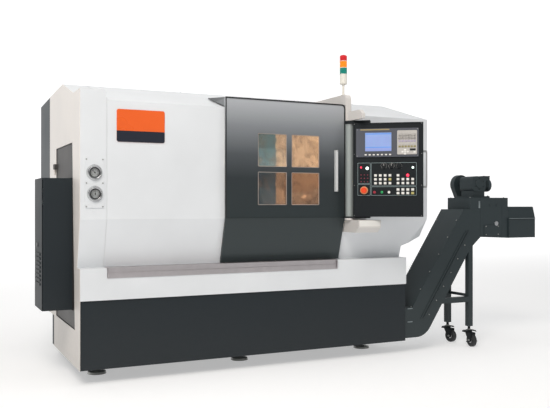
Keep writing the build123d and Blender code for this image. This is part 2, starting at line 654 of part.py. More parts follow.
def panel_button(node, head_r, head_depth, stem_r):
    """A push button whose stem slides in the panel."""
    u, z, _ = PANEL_HOLES[node]
    button = rod_y(-head_depth, -8 if head_r > stem_r else 0, u, z, head_r)
    button += rod_y(-9 if head_r > stem_r else -1, 8, u, z, stem_r)
    rim = button.edges().filter_by(GeomType.CIRCLE).sort_by(Axis.Y)[0]
    return PENDANT_PLACE * chamfer(rim, 3 if head_r > 15 else 1)


def panel_dial(node):
    """A rotary switch: a knob with a pointer ridge on a thin shaft."""
    u, z, _ = PANEL_HOLES[node]
    knob = rod_y(-10, PANEL_FACE - 0.5, u, z, 14)
    knob += block(u - 4, u + 4, -17, -9, z - 12, z + 14)
    knob += rod_y(PANEL_FACE - 1, 10, u, z, 3)
    return PENDANT_PLACE * knob


def signal_light():
    """Pole with its base, and three lenses stacked on it."""
    pole = rod_z(HOOD_TOP, HOOD_TOP + 6, LIGHT_X, LIGHT_Y, 18)
    pole += rod_z(HOOD_TOP + 5, 1905, LIGHT_X, LIGHT_Y, 8)
    pole += rod_z(1903, 1909, LIGHT_X, LIGHT_Y, 21) + rod_z(1908, 1975, LIGHT_X, LIGHT_Y, LIGHT_R)
    lenses = []
    for low, high in ((1975, 2020), (2020, 2066), (2066, 2108)):
        lens = rod_z(low, low + 3, LIGHT_X, LIGHT_Y, LIGHT_R - 2)
        lenses.append(lens + rod_z(low + 2, high, LIGHT_X, LIGHT_Y, LIGHT_R))
    top = lenses[2].edges().filter_by(GeomType.CIRCLE).sort_by(Axis.Z)[-1]
    lenses[2] = chamfer(top, 5, 9)
    return pole, lenses


def on_casting(along):
    """Y and Z of a place on the bed's slanted casting face, below the ways."""
    rise = along * SLANT_COS
    drop = WAY_HEIGHT * SLANT_COS
    return BED_Y + drop + rise, BED_Z - drop + rise


def slant_bed():
    """Slanted box-way bed, cast in one with its ways and cored out behind."""
    low_y, low_z = on_casting(-WAY_HALF_SPAN)
    high_y, high_z = on_casting(WAY_HALF_SPAN)
    outline = [(420, BASE_TOP), (BASE_REAR, BASE_TOP), (BASE_REAR, high_z), (high_y, high_z),
               (low_y, low_z), (low_y, 560)]
    bed = side_prism(outline, BED_LEFT, BED_RIGHT)
    for x in (360, 800, 1240, 1680):
        bed -= block(x, x + 360, 700, BASE_REAR + 5, BASE_TOP + 60, 880)
    for low, high in ((-325, -275), (-135, -90), (-50, 0), (285, 335)):
        way = block(CHAMBER_LEFT + 30, BED_RIGHT, low, high, -WAY_HEIGHT - 5, 0)
        bed += BED_PLANE.location * way
    return bed


def headstock():
    """Headstock casting with the spindle bore, ribs and a nose ring."""
    body = block(HEAD_LEFT, HEAD_RIGHT, -190, 190, -WAY_HEIGHT, 400)
    body = fillet(body.edges().filter_by(Axis.X).sort_by(Axis.Z)[2:], 60)
    for x in (400, 520, 640, 760):
        body += block(x, x + 24, -215, 215, -WAY_HEIGHT, 200)
    body = BED_PLANE.location * body
    body += rod_x(HEAD_RIGHT - 1, HEAD_RIGHT + 8, SPINDLE_Y, SPINDLE_Z, 125)
    return body - rod_x(HEAD_LEFT - 5, HEAD_RIGHT + 20, SPINDLE_Y, SPINDLE_Z, SPINDLE_R + RUNNING)


def spindle():
    """Hollow spindle with its pulley and the chuck cylinder behind it."""
    shaft = rod_x(PULLEY_LEFT - 15, CHUCK_LEFT - 12, SPINDLE_Y, SPINDLE_Z, SPINDLE_R)
    shaft += rod_x(CHUCK_LEFT - 12, CHUCK_LEFT, SPINDLE_Y, SPINDLE_Z, 105)
    shaft += rod_x(PULLEY_LEFT, PULLEY_RIGHT, SPINDLE_Y, SPINDLE_Z, SPINDLE_PULLEY_R)
    shaft += rod_x(-150, PULLEY_LEFT - 10, SPINDLE_Y, SPINDLE_Z, 40)
    shaft += rod_x(-140, -40, SPINDLE_Y, SPINDLE_Z, 82)
    return shaft - rod_x(-160, CHUCK_LEFT + 5, SPINDLE_Y, SPINDLE_Z, 26)


def jaw_angle(index):
    return 90 + 120 * index


def chuck_body():
    """Three-jaw power chuck: body, radial slots and through hole."""
    body = rod_x(CHUCK_LEFT, CHUCK_RIGHT, SPINDLE_Y, SPINDLE_Z, CHUCK_R)
    rims = body.edges().filter_by(GeomType.CIRCLE)
    body = chamfer(rims, 4)
    body -= rod_x(CHUCK_LEFT - 5, CHUCK_RIGHT + 5, SPINDLE_Y, SPINDLE_Z, 32)
    for index in range(3):
        slot = block(CHUCK_RIGHT - JAW_SLOT, CHUCK_RIGHT + 5, 20, CHUCK_R + 5,
                     -JAW_WIDTH / 2 - SLIDING, JAW_WIDTH / 2 + SLIDING)
        body -= Location((0, SPINDLE_Y, SPINDLE_Z), (jaw_angle(index), 0, 0)) * slot
    return body


def chuck_jaw(index):
    """Stepped hard jaw that slides radially in its slot."""
    outline = [(CHUCK_RIGHT - JAW_SLOT + SLIDING, 42), (CHUCK_RIGHT + 46, 42), (CHUCK_RIGHT + 46, 64),
               (CHUCK_RIGHT + 30, 64), (CHUCK_RIGHT + 30, 88), (CHUCK_RIGHT + 14, 88),
               (CHUCK_RIGHT + 14, 114), (CHUCK_RIGHT - JAW_SLOT + SLIDING, 114)]
    face = make_face(Polyline(*outline, close=True))
    jaw = extrude(Plane.XY.offset(-JAW_WIDTH / 2) * face, amount=JAW_WIDTH)
    return Location((0, SPINDLE_Y, SPINDLE_Z), (jaw_angle(index), 0, 0)) * jaw


def spindle_motor():
    body = rod_x(235, 560, MOTOR_Y, MOTOR_Z, 100)
    body += block(225, 245, MOTOR_Y - 105, MOTOR_Y + 105, MOTOR_Z - 105, MOTOR_Z + 105)
    body += block(250, 540, MOTOR_Y - 95, MOTOR_Y + 95, BASE_TOP, BASE_TOP + 14)
    for x in (270, 490):
        body += block(x, x + 30, MOTOR_Y - 70, MOTOR_Y + 70, BASE_TOP + 10, MOTOR_Z - 40)
    body += block(330, 450, MOTOR_Y - 45, MOTOR_Y + 45, MOTOR_Z + 80, MOTOR_Z + 128)
    return body - rod_x(220, 260, MOTOR_Y, MOTOR_Z, 21)


def motor_pulley():
    pulley = rod_x(PULLEY_LEFT, PULLEY_RIGHT, MOTOR_Y, MOTOR_Z, MOTOR_PULLEY_R)
    return pulley + rod_x(PULLEY_RIGHT - 1, 250, MOTOR_Y, MOTOR_Z, 20)


def belt_loop(extra):
    circles = [CenterArc((SPINDLE_Y, SPINDLE_Z), SPINDLE_PULLEY_R + extra, 0, 360),
               CenterArc((MOTOR_Y, MOTOR_Z), MOTOR_PULLEY_R + extra, 0, 360)]
    return make_hull(circles)


def drive_belt():
    loop = belt_loop(BELT_GAP + BELT_THICKNESS) - belt_loop(BELT_GAP)
    return extrude(Plane.YZ.offset(PULLEY_LEFT + 8) * loop, amount=54)


def chamber_liner():
    """Folded walls of the machining chamber, cut out round the bed and the spindle."""
    inside = enclosure_volume(SHEET + 3)
    bed_room = side_prism([(412, BASE_TOP - 5), (1005, BASE_TOP - 5), (1005, 1156), (852, 1156),
                           (384, 688), (384, 560)], 0, LENGTH)
    ways_room = BED_PLANE.location * block(0, LENGTH, -340, 350, -60, 6)
    walls = block(CHAMBER_LEFT, CHAMBER_LEFT + 2, 0, CHAMBER_BACK, BASE_TOP + 1, 2000)
    walls += block(CHAMBER_RIGHT - 2, CHAMBER_RIGHT, 0, CHAMBER_BACK, BASE_TOP + 1, 2000)
    walls += block(CHAMBER_LEFT, CHAMBER_RIGHT, CHAMBER_BACK, CHAMBER_BACK + 2, BASE_TOP + 1, 2000)
    walls = walls & inside
    walls -= bed_room
    walls -= ways_room
    walls -= rod_x(CHAMBER_LEFT - 20, CHAMBER_LEFT + 20, SPINDLE_Y, SPINDLE_Z, 128)
    return walls


def saddle():
    """Saddle on the upper ways, with keeper strips and the cross rail for the turret slide."""
    body = block(SADDLE_LEFT, SADDLE_RIGHT, -72, 350, SLIDING, 60)
    body += block(SADDLE_LEFT, SADDLE_RIGHT, -72, -50 - SLIDING, -24, SLIDING + 1)
    body += block(SADDLE_LEFT, SADDLE_RIGHT, 335 + SLIDING, 350, -24, SLIDING + 1)
    rail = make_face(Polyline((1480, 59), (1620, 59), (1636, 86), (1464, 86), close=True))
    body += extrude(Plane.XZ.offset(72) * rail, amount=-422)
    return BED_PLANE.location * body


def turret_slide():
    """Cross slide with the turret housing."""
    plate = block(1445, 1655, TURRET_U - 270, TURRET_U + 110, 86 + SLIDING, 130)
    body = plate
    for sign, x in ((1, 1445), (-1, 1655)):
        jaw = [(x, 64), (x + sign * 31.4, 64), (x + sign * 18.4, 86), (x + sign * 17.4, 88), (x, 88)]
        strip = make_face(Polyline(*jaw, close=True))
        body += extrude(Plane.XZ.offset(-(TURRET_U + 110)) * strip, amount=380)
    housing = block(DISC_RIGHT + 14, 1650, TURRET_U - 105, TURRET_U + 105, 129, 365)
    housing = fillet(housing.edges().filter_by(Axis.X).sort_by(Axis.Z)[2:], 40)
    body += housing
    body = BED_PLANE.location * body
    hub = BED_PLANE.location * (Pos(1420, TURRET_U, AXIS_ABOVE_WAYS)
                                * (Rot(0, 90, 0) * Cylinder(60 + RUNNING, 80)))
    return body - hub


def turret_disc():
    """Twelve-sided tool disc with its hub and six block holders."""
    disc = Plane.YZ * RegularPolygon(DISC_R, DISC_STATIONS)
    body = Pos(DISC_LEFT, 0, 0) * extrude(disc, amount=DISC_RIGHT - DISC_LEFT)
    body += rod_x(DISC_RIGHT - 1, DISC_RIGHT + 38, 0, 0, 60)
    body += rod_x(DISC_LEFT - 14, DISC_LEFT + 1, 0, 0, 70)
    for index in range(TOOL_COUNT):
        angle = 360 / TOOL_COUNT * index + 15
        holder = block(DISC_LEFT + 14, DISC_RIGHT - 12, 150, 190, -30, 30)
        if index % 2:
            holder += rod_x(DISC_LEFT - 46, DISC_LEFT + 20, 172, 0, 16)
        else:
            holder += block(DISC_LEFT - 34, DISC_LEFT + 20, 166, 186, -12, 12)
        body += Rot(angle, 0, 0) * holder
    return BED_PLANE.location * (Pos(0, TURRET_U, AXIS_ABOVE_WAYS) * body)


def tailstock():
    """Tailstock casting that leans out from its own ways to the spindle axis."""
    outline = [(-330, SLIDING), (-90 - SLIDING, SLIDING), (-84, 60), (-64, 170), (60, 215), (60, 300),
               (20, 330), (-40, 330), (-90, 290), (-200, 130), (-330, 60)]
    face = make_face(Polyline(*outline, close=True))
    body = extrude(Plane.YZ.offset(TAIL_LEFT) * face, amount=TAIL_RIGHT - TAIL_LEFT)
    body = BED_PLANE.location * body
    return body - rod_x(TAIL_LEFT - 5, TAIL_RIGHT - 30, SPINDLE_Y, SPINDLE_Z, QUILL_R + RUNNING)


def quill():
    """Quill with its centre, sliding in the tailstock's bore."""
    body = rod_x(TAIL_LEFT - 60, TAIL_RIGHT - 60, SPINDLE_Y, SPINDLE_Z, QUILL_R)
    profile = make_face(Polyline((TAIL_LEFT - 58, 0), (TAIL_LEFT - 58, 28), (TAIL_LEFT - 90, 28),
                                 (TAIL_LEFT - 130, 0), close=True))
    centre = revolve(profile, axis=Axis.X)
    return body + Pos(0, SPINDLE_Y, SPINDLE_Z) * centre


def incline_shift(distance):
    """X and Z of a step up the incline."""
    angle = math.radians(INCLINE)
    return distance * math.cos(angle), distance * math.sin(angle)


def conveyor_outline(inset):
    """Side view of the trough, from inside the base to where the head begins."""
    slope = math.tan(math.radians(INCLINE))
    half = math.tan(math.radians(INCLINE / 2))
    low = BASE_FLOOR + inset
    high = BASE_FLOOR + TROUGH_DEPTH - inset
    knee = KNEE_X - inset * half
    inner_knee = KNEE_X - (TROUGH_DEPTH - inset) * half
    top_x = inner_knee + (INCLINE_TOP - inset - high) / slope
    end_z = low + (HEAD_BOX_LEFT - knee) * slope
    arc_start = knee - (KNEE_R - inset) * half
    run = (KNEE_R - inset) * half
    step_x, step_z = incline_shift(run)
    lower = Line((TROUGH_START + inset, low), (arc_start, low))
    bend = TangentArc((arc_start, low), (knee + step_x, low + step_z), tangent=(1, 0))
    rest = Polyline((knee + step_x, low + step_z), (HEAD_BOX_LEFT, end_z),
                    (HEAD_BOX_LEFT, INCLINE_TOP - inset), (top_x, INCLINE_TOP - inset),
                    (inner_knee, high), (TROUGH_START + inset, high), (TROUGH_START + inset, low))
    return make_face([lower, bend, *rest.edges()])


def across(face, y0, y1):
    """A side-view face pushed across the conveyor."""
    return extrude(Plane.XZ.offset(-y1) * face, amount=y1 - y0)


def cover_zone():
    """Where the cover lies: a strip along the conveyor's upper side."""
    half = math.tan(math.radians(INCLINE / 2))
    slope = math.tan(math.radians(INCLINE))
    knee = KNEE_X - TROUGH_DEPTH * half
    high = BASE_FLOOR + TROUGH_DEPTH
    top_x = knee + (INCLINE_TOP - high) / slope
    thick = TROUGH_SHEET
    lower_knee = knee + thick * half
    lower_top = lower_knee + (INCLINE_TOP - high) / slope
    outline = [(BASE_LENGTH - 40, high + 5), (knee - 3, high + 5), (top_x - 8, INCLINE_TOP + 5),
               (HEAD_BOX_LEFT, INCLINE_TOP + 5), (HEAD_BOX_LEFT, INCLINE_TOP - thick),
               (lower_top, INCLINE_TOP - thick), (lower_knee, high - thick),
               (BASE_LENGTH - 40, high - thick)]
    return front_prism(outline, TROUGH_NEAR - 20, TROUGH_FAR + 20)


def conveyor_shell():
    outer = across(conveyor_outline(0), TROUGH_NEAR, TROUGH_FAR)
    inner = across(conveyor_outline(TROUGH_SHEET), TROUGH_NEAR + TROUGH_SHEET,
                   TROUGH_FAR - TROUGH_SHEET)
    inner += block(HEAD_BOX_LEFT - 10, HEAD_BOX_LEFT + 5, TROUGH_NEAR + TROUGH_SHEET,
                   TROUGH_FAR - TROUGH_SHEET, 760, INCLINE_TOP - TROUGH_SHEET)
    return outer - inner


def conveyor_trough():
    """Trough: bottom and sides, open on top inside the base, with joint strips on its sides."""
    trough = conveyor_shell() - cover_zone()
    trough -= block(TROUGH_START + 10, BASE_LENGTH - 40, TROUGH_NEAR + TROUGH_SHEET,
                    TROUGH_FAR - TROUGH_SHEET, BASE_FLOOR + 100, BASE_FLOOR + TROUGH_DEPTH + 5)
    step_x, step_z = incline_shift(760)
    for offset_x in (0, 22):
        strip = [(2450 + offset_x, 240), (2460 + offset_x, 240), (2460 + offset_x + step_x, 240 + step_z),
                 (2450 + offset_x + step_x, 240 + step_z)]
        trough += front_prism(strip, TROUGH_NEAR - 5, TROUGH_NEAR + 1)
        trough += front_prism(strip, TROUGH_FAR - 1, TROUGH_FAR + 5)
    return trough


def conveyor_cover():
    """Upper sheet of the incline, lying on the trough's sides."""
    return conveyor_shell() & cover_zone()


def head_outline(inset):
    slope = math.tan(math.radians(INCLINE))
    half = math.tan(math.radians(INCLINE / 2))
    start_z = BASE_FLOOR + inset + (HEAD_BOX_LEFT - KNEE_X + inset * half) * slope
    return [(HEAD_BOX_LEFT + inset, start_z + inset * slope), (HEAD_BEND_X, HEAD_BEND_Z + inset),
            (HEAD_BOX_RIGHT - inset, HEAD_BOX_LOW + inset), (HEAD_BOX_RIGHT - inset, HEAD_BOX_TOP - inset),
            (HEAD_BOX_LEFT + inset, HEAD_BOX_TOP - inset)]


def chain_guard(extra):
    circles = [CenterArc((GEAR_X, GEAR_Z), 75 - extra, 0, 360),
               CenterArc((SPROCKET_X, SPROCKET_Z), 52 - extra, 0, 360)]
    return make_hull(circles)


def conveyor_head():
    """Head housing over the drive shaft, with an inspection panel and the chain guard."""
    head = front_prism(head_outline(0), TROUGH_NEAR, TROUGH_FAR)
    head -= front_prism(head_outline(TROUGH_SHEET), TROUGH_NEAR + TROUGH_SHEET, TROUGH_FAR - TROUGH_SHEET)
    head -= block(HEAD_BOX_RIGHT - 20, HEAD_BOX_RIGHT + 5, TROUGH_NEAR + 12, TROUGH_FAR - 12, 826, 1050)
    head -= block(HEAD_BOX_LEFT - 5, HEAD_BOX_LEFT + 8, TROUGH_NEAR + TROUGH_SHEET,
                  TROUGH_FAR - TROUGH_SHEET, 720, INCLINE_TOP - TROUGH_SHEET)
    head += block(3044, 3196, TROUGH_NEAR - 4, TROUGH_NEAR + 1, 832, 914)
    for x in (3104, 3168):
        head += rod_y(TROUGH_NEAR - 5, TROUGH_NEAR + 1, x, 1065, 7)
    guard = across(chain_guard(0), TROUGH_FAR, TROUGH_FAR + 46)
    guard -= across(chain_guard(2.5), TROUGH_FAR + 2.5, TROUGH_FAR + 43.5)
    guard -= rod_y(TROUGH_FAR - 1, TROUGH_FAR + 5, GEAR_X, GEAR_Z, 27)
    head += guard
    return head - rod_y(TROUGH_NEAR - 10, TROUGH_FAR + 5, SPROCKET_X, SPROCKET_Z, SHAFT_R + RUNNING)


def discharge_chute():
    """Hooded chute bolted to the head: a folded sheet whose near side leans in above a lip."""
    outline = [(TROUGH_NEAR, HEAD_BOX_LOW), (TROUGH_FAR, HEAD_BOX_LOW), (TROUGH_FAR, CHUTE_TOP),
               (TROUGH_NEAR + CHUTE_LEAN, CHUTE_TOP), (TROUGH_NEAR, CHUTE_FOLD)]
    section = make_face(Polyline(*outline, close=True))
    section -= offset(section, amount=-TROUGH_SHEET, kind=Kind.INTERSECTION)
    chute = extrude(Plane.YZ.offset(HEAD_BOX_RIGHT) * section, amount=CHUTE_RIGHT - HEAD_BOX_RIGHT)
    # The mouth's upper part is cut back a little
    cut = [(CHUTE_RIGHT, CHUTE_FOLD), (CHUTE_RIGHT - CHUTE_CUT, CHUTE_TOP + 1),
           (CHUTE_RIGHT + 5, CHUTE_TOP + 1), (CHUTE_RIGHT + 5, CHUTE_FOLD)]
    chute -= front_prism(cut, TROUGH_NEAR - 5, TROUGH_FAR + 5)
    for near, far, top in ((TROUGH_NEAR - 12, TROUGH_NEAR + 1, CHUTE_FOLD),
                           (TROUGH_FAR - 1, TROUGH_FAR + 12, CHUTE_TOP)):
        chute += block(HEAD_BOX_RIGHT, HEAD_BOX_RIGHT + 5, near, far, HEAD_BOX_LOW, top)
    chute += block(HEAD_BOX_RIGHT + 4, CHUTE_RIGHT, TROUGH_NEAR - 8, TROUGH_NEAR + 1,
                   CHUTE_FOLD - 6, CHUTE_FOLD - 3)
    return chute


def belt_path():
    """The belt's loop in the side view, offset both ways from one bent centre line."""
    slope = math.tan(math.radians(INCLINE))
    angle = math.radians(INCLINE)
    base_x = KNEE_X - BELT_ABOVE_FLOOR * math.sin(angle)
    base_z = BASE_FLOOR + BELT_ABOVE_FLOOR * math.cos(angle)
    lower_knee = (base_x + (BELT_RUN_Z - base_z) / slope, BELT_RUN_Z)
    upper_knee = (base_x + (SPROCKET_Z - base_z) / slope, SPROCKET_Z)
    centre = FilletPolyline((TAIL_X, BELT_RUN_Z), lower_knee, upper_knee, (SPROCKET_X, SPROCKET_Z),
                            radius=BELT_BEND_R)
    return offset(centre, amount=BELT_R, side=Side.BOTH).wire()


def hinged_belt():
    """Hinged steel belt: plates with side wings, each carried by the next one's knuckle."""
    loop = belt_path()
    middle = (TROUGH_NEAR + TROUGH_FAR) / 2
    width = TROUGH_FAR - TROUGH_NEAR - 2 * TROUGH_SHEET - 8
    pins = [loop.position_at(index / BELT_LINKS) for index in range(BELT_LINKS)]
    links = []
    for index, pin in enumerate(pins):
        following = pins[(index + 1) % BELT_LINKS]
        reach = (following - pin).length
        angle = math.degrees(math.atan2(following.Y - pin.Y, following.X - pin.X))
        half = width / 2
        section = [(-half, -1.5), (-half, BELT_WING), (-half + 3, BELT_WING), (-half + 3, 1.5),
                   (half - 3, 1.5), (half - 3, BELT_WING), (half, BELT_WING), (half, -1.5)]
        link = side_prism(section, BELT_KNUCKLE + 2, reach - BELT_KNUCKLE - 2)
        knuckle = extrude(RegularPolygon(BELT_KNUCKLE, 4), amount=half - 5, both=True)
        link += Rot(90, 0, 0) * knuckle
        link += block(0, reach - BELT_KNUCKLE - 0.2, -half + 5, half - 5, -1.5, 1.5)
        if index % BELT_CLEAT_EVERY == 0:
            link += block(reach / 2 - 2, reach / 2 + 2, -half + 2, half - 2, -1, 15)
        links.append(Location((pin.X, middle, pin.Y), (0, -angle, 0)) * link)
    return Compound(links)


def conveyor_shaft():
    """Drive shaft with the two belt sprockets and the chain sprocket."""
    shaft = rod_y(TROUGH_NEAR - 4, TROUGH_FAR + 34, SPROCKET_X, SPROCKET_Z, SHAFT_R)
    wheel = RegularPolygon(SPROCKET_R, 8)
    for y in (62, 215):
        toothed = extrude(Plane.XZ.offset(-(y + 20)) * (Pos(SPROCKET_X, SPROCKET_Z) * wheel), amount=20)
        shaft += toothed
    return shaft + rod_y(TROUGH_FAR + 12, TROUGH_FAR + 26, SPROCKET_X, SPROCKET_Z, 40)


def conveyor_gearmotor():
    """Gearbox with its foot, output hub and a finned motor lying along X."""
    foot = block(GEAR_X - 80, GEAR_X + 84, 50, 230, HEAD_BOX_TOP, HEAD_BOX_TOP + 12)
    foot += block(GEAR_X - 55, GEAR_X + 54, 75, 215, HEAD_BOX_TOP + 10, GEAR_Z - 45)
    gearbox = block(GEAR_X - 66, GEAR_X + 62, 70, 220, GEAR_Z - 60, GEAR_Z + 58)
    gearbox = fillet(gearbox.edges().filter_by(Axis.Y), 28)
    axis_z = GEAR_Z - 8
    motor = rod_x(GEAR_X + 56, MOTOR_RIGHT - 3, 145, axis_z, GEARMOTOR_R)
    motor += rod_x(GEAR_X + 60, GEAR_X + 70, 145, axis_z, GEARMOTOR_R + 9)
    for step in range(4):
        x = GEAR_X + 82 + step * 11
        motor += rod_x(x, x + 3, 145, axis_z, GEARMOTOR_R + 4)
    motor += rod_x(MOTOR_RIGHT - 24, MOTOR_RIGHT, 145, axis_z, GEARMOTOR_R + 3)
    motor += block(GEAR_X + 74, GEAR_X + 130, 104, 186, axis_z + 30, axis_z + 66)
    hub = rod_y(215, TROUGH_FAR + 30, GEAR_X, GEAR_Z, 22)
    hub += rod_y(TROUGH_FAR + 12, TROUGH_FAR + 26, GEAR_X, GEAR_Z, 38)
    return foot + gearbox + motor + hub


def conveyor_stand():
    """Two posts under the incline, tied by a cross bar and braced to the trough."""
    slope = math.tan(math.radians(INCLINE))

    def underside(x):
        return BASE_FLOOR + (x - KNEE_X) * slope

    head_slope = (HEAD_BEND_Z - underside(HEAD_BOX_LEFT)) / (HEAD_BEND_X - HEAD_BOX_LEFT)
    stand = block(STAND_BAR_LEFT, STAND_BAR_LEFT + 16, TROUGH_NEAR + 10, TROUGH_FAR - 10, 374, 394)
    for side, near in (("near", TROUGH_NEAR), ("far", TROUGH_FAR - STAND_SIZE)):
        left = STAND_LEFT[side]
        right = left + STAND_SIZE
        post = [(left, CASTER_TOP), (right, CASTER_TOP),
                (right, underside(HEAD_BOX_LEFT) + (right - HEAD_BOX_LEFT) * head_slope),
                (HEAD_BOX_LEFT, underside(HEAD_BOX_LEFT)), (left, underside(left))]
        brace = [(KNEE_X + (335 - BASE_FLOOR) / slope, 335), (left + 1, 335), (left + 1, 375),
                 (KNEE_X + (375 - BASE_FLOOR) / slope, 375)]
        stand += front_prism(post, near, near + STAND_SIZE)
        stand += front_prism(brace, near, near + STAND_SIZE)
    return stand


def caster_place(side):
    y = TROUGH_NEAR + STAND_SIZE / 2 if side == "near" else TROUGH_FAR - STAND_SIZE / 2
    return Location((STAND_LEFT[side] + STAND_SIZE / 2, y, 0), (0, 0, CASTER_ANGLES[side]))


def caster_fork(side):
    """Swivel fork with its stem and axle, a dust plate with drooping ends and two brake tabs."""
    fork = rod_z(116, CASTER_TOP, 0, 0, 10) + rod_z(104, 122, 0, 0, 24)
    plate = [(-52, 109), (-42, 120), (42, 120), (52, 109), (49, 107), (40, 116), (-40, 116), (-49, 107)]
    fork += side_prism(plate, -20, 24)
    for near, far in ((-46, -WHEEL_W / 2 - 2), (WHEEL_W / 2 + 2, 46)):
        fork += block(CASTER_TRAIL - 8, CASTER_TRAIL + 8, near, far, 36, 42)
    leg = [(-18, 106), (CASTER_TRAIL + 18, 106), (CASTER_TRAIL + 14, 42), (CASTER_TRAIL - 12, 36),
           (-14, 92)]
    for y in (-WHEEL_W / 2 - 6, WHEEL_W / 2 + 2):
        fork += front_prism(leg, y, y + 4)
    fork += block(-18, CASTER_TRAIL + 18, -WHEEL_W / 2 - 6, WHEEL_W / 2 + 6, 101, 106)
    fork += rod_y(-WHEEL_W / 2 - 9, WHEEL_W / 2 + 9, CASTER_TRAIL, WHEEL_R, 6)
    return caster_place(side) * fork


def caster_wheel(side):
    half = WHEEL_W / 2
    bore = 6 + RUNNING
    profile = make_face(Polyline((bore, -half), (20, -half), (24, -half + 4), (36, -half + 1),
                                 (WHEEL_R - 4, -half + 1), (WHEEL_R, -half + 5), (WHEEL_R, half - 5),
                                 (WHEEL_R - 4, half - 1), (36, half - 1), (24, half - 4), (20, half),
                                 (bore, half), close=True))
    wheel = revolve(profile, axis=Axis.Y)
    return caster_place(side) * (Pos(CASTER_TRAIL, 0, WHEEL_R) * wheel)


def build():
    main_panel, right_panel, roof = enclosure_panels()
    pole, lenses = signal_light()
    pieces = {
        "base_frame": base_frame(), "leveling_feet": leveling_feet(), "front_skirt": front_skirt(),
        "left_end_panel": left_end_panel(), "left_pillar": left_pillar(), "gauge_plate": gauge_plate(),
        "pressure_gauges": pressure_gauges(), "nameplate": nameplate(), "main_front_panel": main_panel,
        "right_end_panel": right_panel, "roof_panel": roof, "cabinet_shell": cabinet_shell(),
        "door_track": door_track(), "hood_column": hood_column(), "pendant_post": pendant_post(),
        "slant_bed": slant_bed(), "headstock": headstock(), "spindle_motor": spindle_motor(),
        "drive_belt": drive_belt(), "chamber_liner": chamber_liner(), "signal_pole": pole,
        "signal_green": lenses[0], "signal_amber": lenses[1], "signal_red": lenses[2],
        "conveyor_trough": conveyor_trough(), "conveyor_cover": conveyor_cover(),
        "conveyor_head": conveyor_head(), "discharge_chute": discharge_chute(),
        "hinged_belt": hinged_belt(), "conveyor_gearmotor": conveyor_gearmotor(),
        "conveyor_stand": conveyor_stand(), "side_door": side_door(),
        "spindle_end_cover": spindle_end_cover(), "door_shell": door_shell(),
        "window_panes": window_panes(), "door_handle": door_handle(), "cabinet_door": cabinet_door(),
        "spindle": spindle(), "chuck_body": chuck_body(), "motor_pulley": motor_pulley(),
        "saddle": saddle(), "turret_slide": turret_slide(), "turret_disc": turret_disc(),
        "tailstock": tailstock(), "quill": quill(), "pendant_box": pendant_box(),
        "control_unit": control_unit(), "e_stop": panel_button("e_stop", 20, 28, 11),
        "cycle_start": panel_button("cycle_start", 9, 8, 9), "feed_hold": panel_button("feed_hold", 9, 8, 9),
        "mode_dial": panel_dial("mode_dial"), "feed_dial": panel_dial("feed_dial"),
        "conveyor_shaft": conveyor_shaft(),
    }
    for index, letter in enumerate("abc"):
        pieces[f"chuck_jaw_{letter}"] = chuck_jaw(index)
    for side in CASTER_ANGLES:
        pieces[f"caster_fork_{side}"] = caster_fork(side)
        pieces[f"caster_wheel_{side}"] = caster_wheel(side)
    return pieces


def main():
    os.makedirs("parts", exist_ok=True)
    for node, shape in build().items():
        export_step(PLACE * shape, f"parts/{node}.step")


if __name__ == "__main__":
    main()
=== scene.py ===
import json
import math

import bmesh
import bpy
from mathutils import Matrix, Vector


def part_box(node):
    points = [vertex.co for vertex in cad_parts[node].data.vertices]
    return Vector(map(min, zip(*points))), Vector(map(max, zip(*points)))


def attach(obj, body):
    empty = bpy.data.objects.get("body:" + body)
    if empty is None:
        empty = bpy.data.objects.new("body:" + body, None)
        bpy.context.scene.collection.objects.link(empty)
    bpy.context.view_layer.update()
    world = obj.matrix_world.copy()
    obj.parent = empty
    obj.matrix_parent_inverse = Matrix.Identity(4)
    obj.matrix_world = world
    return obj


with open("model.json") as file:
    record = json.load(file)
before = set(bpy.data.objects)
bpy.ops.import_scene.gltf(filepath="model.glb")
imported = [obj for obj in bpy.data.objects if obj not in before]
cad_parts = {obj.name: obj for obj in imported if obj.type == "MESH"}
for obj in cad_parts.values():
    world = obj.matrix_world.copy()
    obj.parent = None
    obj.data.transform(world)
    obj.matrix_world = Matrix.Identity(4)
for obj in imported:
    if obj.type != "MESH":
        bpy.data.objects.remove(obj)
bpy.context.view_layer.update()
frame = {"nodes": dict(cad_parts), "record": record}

# Looks of a slant-bed turning lathe with its chip conveyor.
# Detail is drawn in millimetres in the machine's own frame, with X from the left end, Y back
# from the front sheet and Z up from the floor, or in the frame of the pendant's front.
MM = 0.001
SHEET = 3.0
ZERO = Vector((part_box("left_end_panel")[1].x - SHEET * MM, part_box("main_front_panel")[0].y, 0))
MACHINE = Matrix.Translation(ZERO) @ Matrix.Scale(MM, 4)
UPRIGHT = Matrix.Rotation(math.radians(90), 4, "X")

# Camera: fitted to the photograph's long edges
CAMERA_PLACE = (-842, -4399, 1060)
CAMERA_TURN = -25.6
CAMERA_LENS = 48.5
HORIZON_SHIFT = 0.0036

# Places that the detail shares with the parts
FOLD = 980.0
FRONT_TOP = 1690.0
LEDGE_TOP = 690.0
LEDGE_DEPTH = 90.0
ROOF_FRONT = (580.0, 1858.0)
DOOR_FACE = -25.0
DOOR_LEFT = 908.0
DOOR_RIGHT = 1784.0
DOOR_TOP = 1752.0
WINDOW_SIZE = (208.0, 215.0)
WINDOW_X = (1235.7, 1479.3)
WINDOW_Z = (1174.5, 1424.5)
SHADE_END = 1262.0
GAUGES = ((85.0, 1257.0), (88.0, 1131.0))
PENDANT_CORNER = (1793.0, -120.0, 988.0)
PENDANT_ANGLE = -37.1
PENDANT_W = 464.0
PENDANT_H = 630.0
DIALS = (205, 255, 305)
DIAL_ROW = 341
POST = (1808.0, -50.0, 28.0)
BRACKET_FRONT = -180.0
LIGHT = (1814.0, 44.0, 25.0)
COVER_LEFT = -180.0
INCLINE = math.radians(56.6)
KNEE_X = 2493.8
TROUGH_FLOOR = 106.0
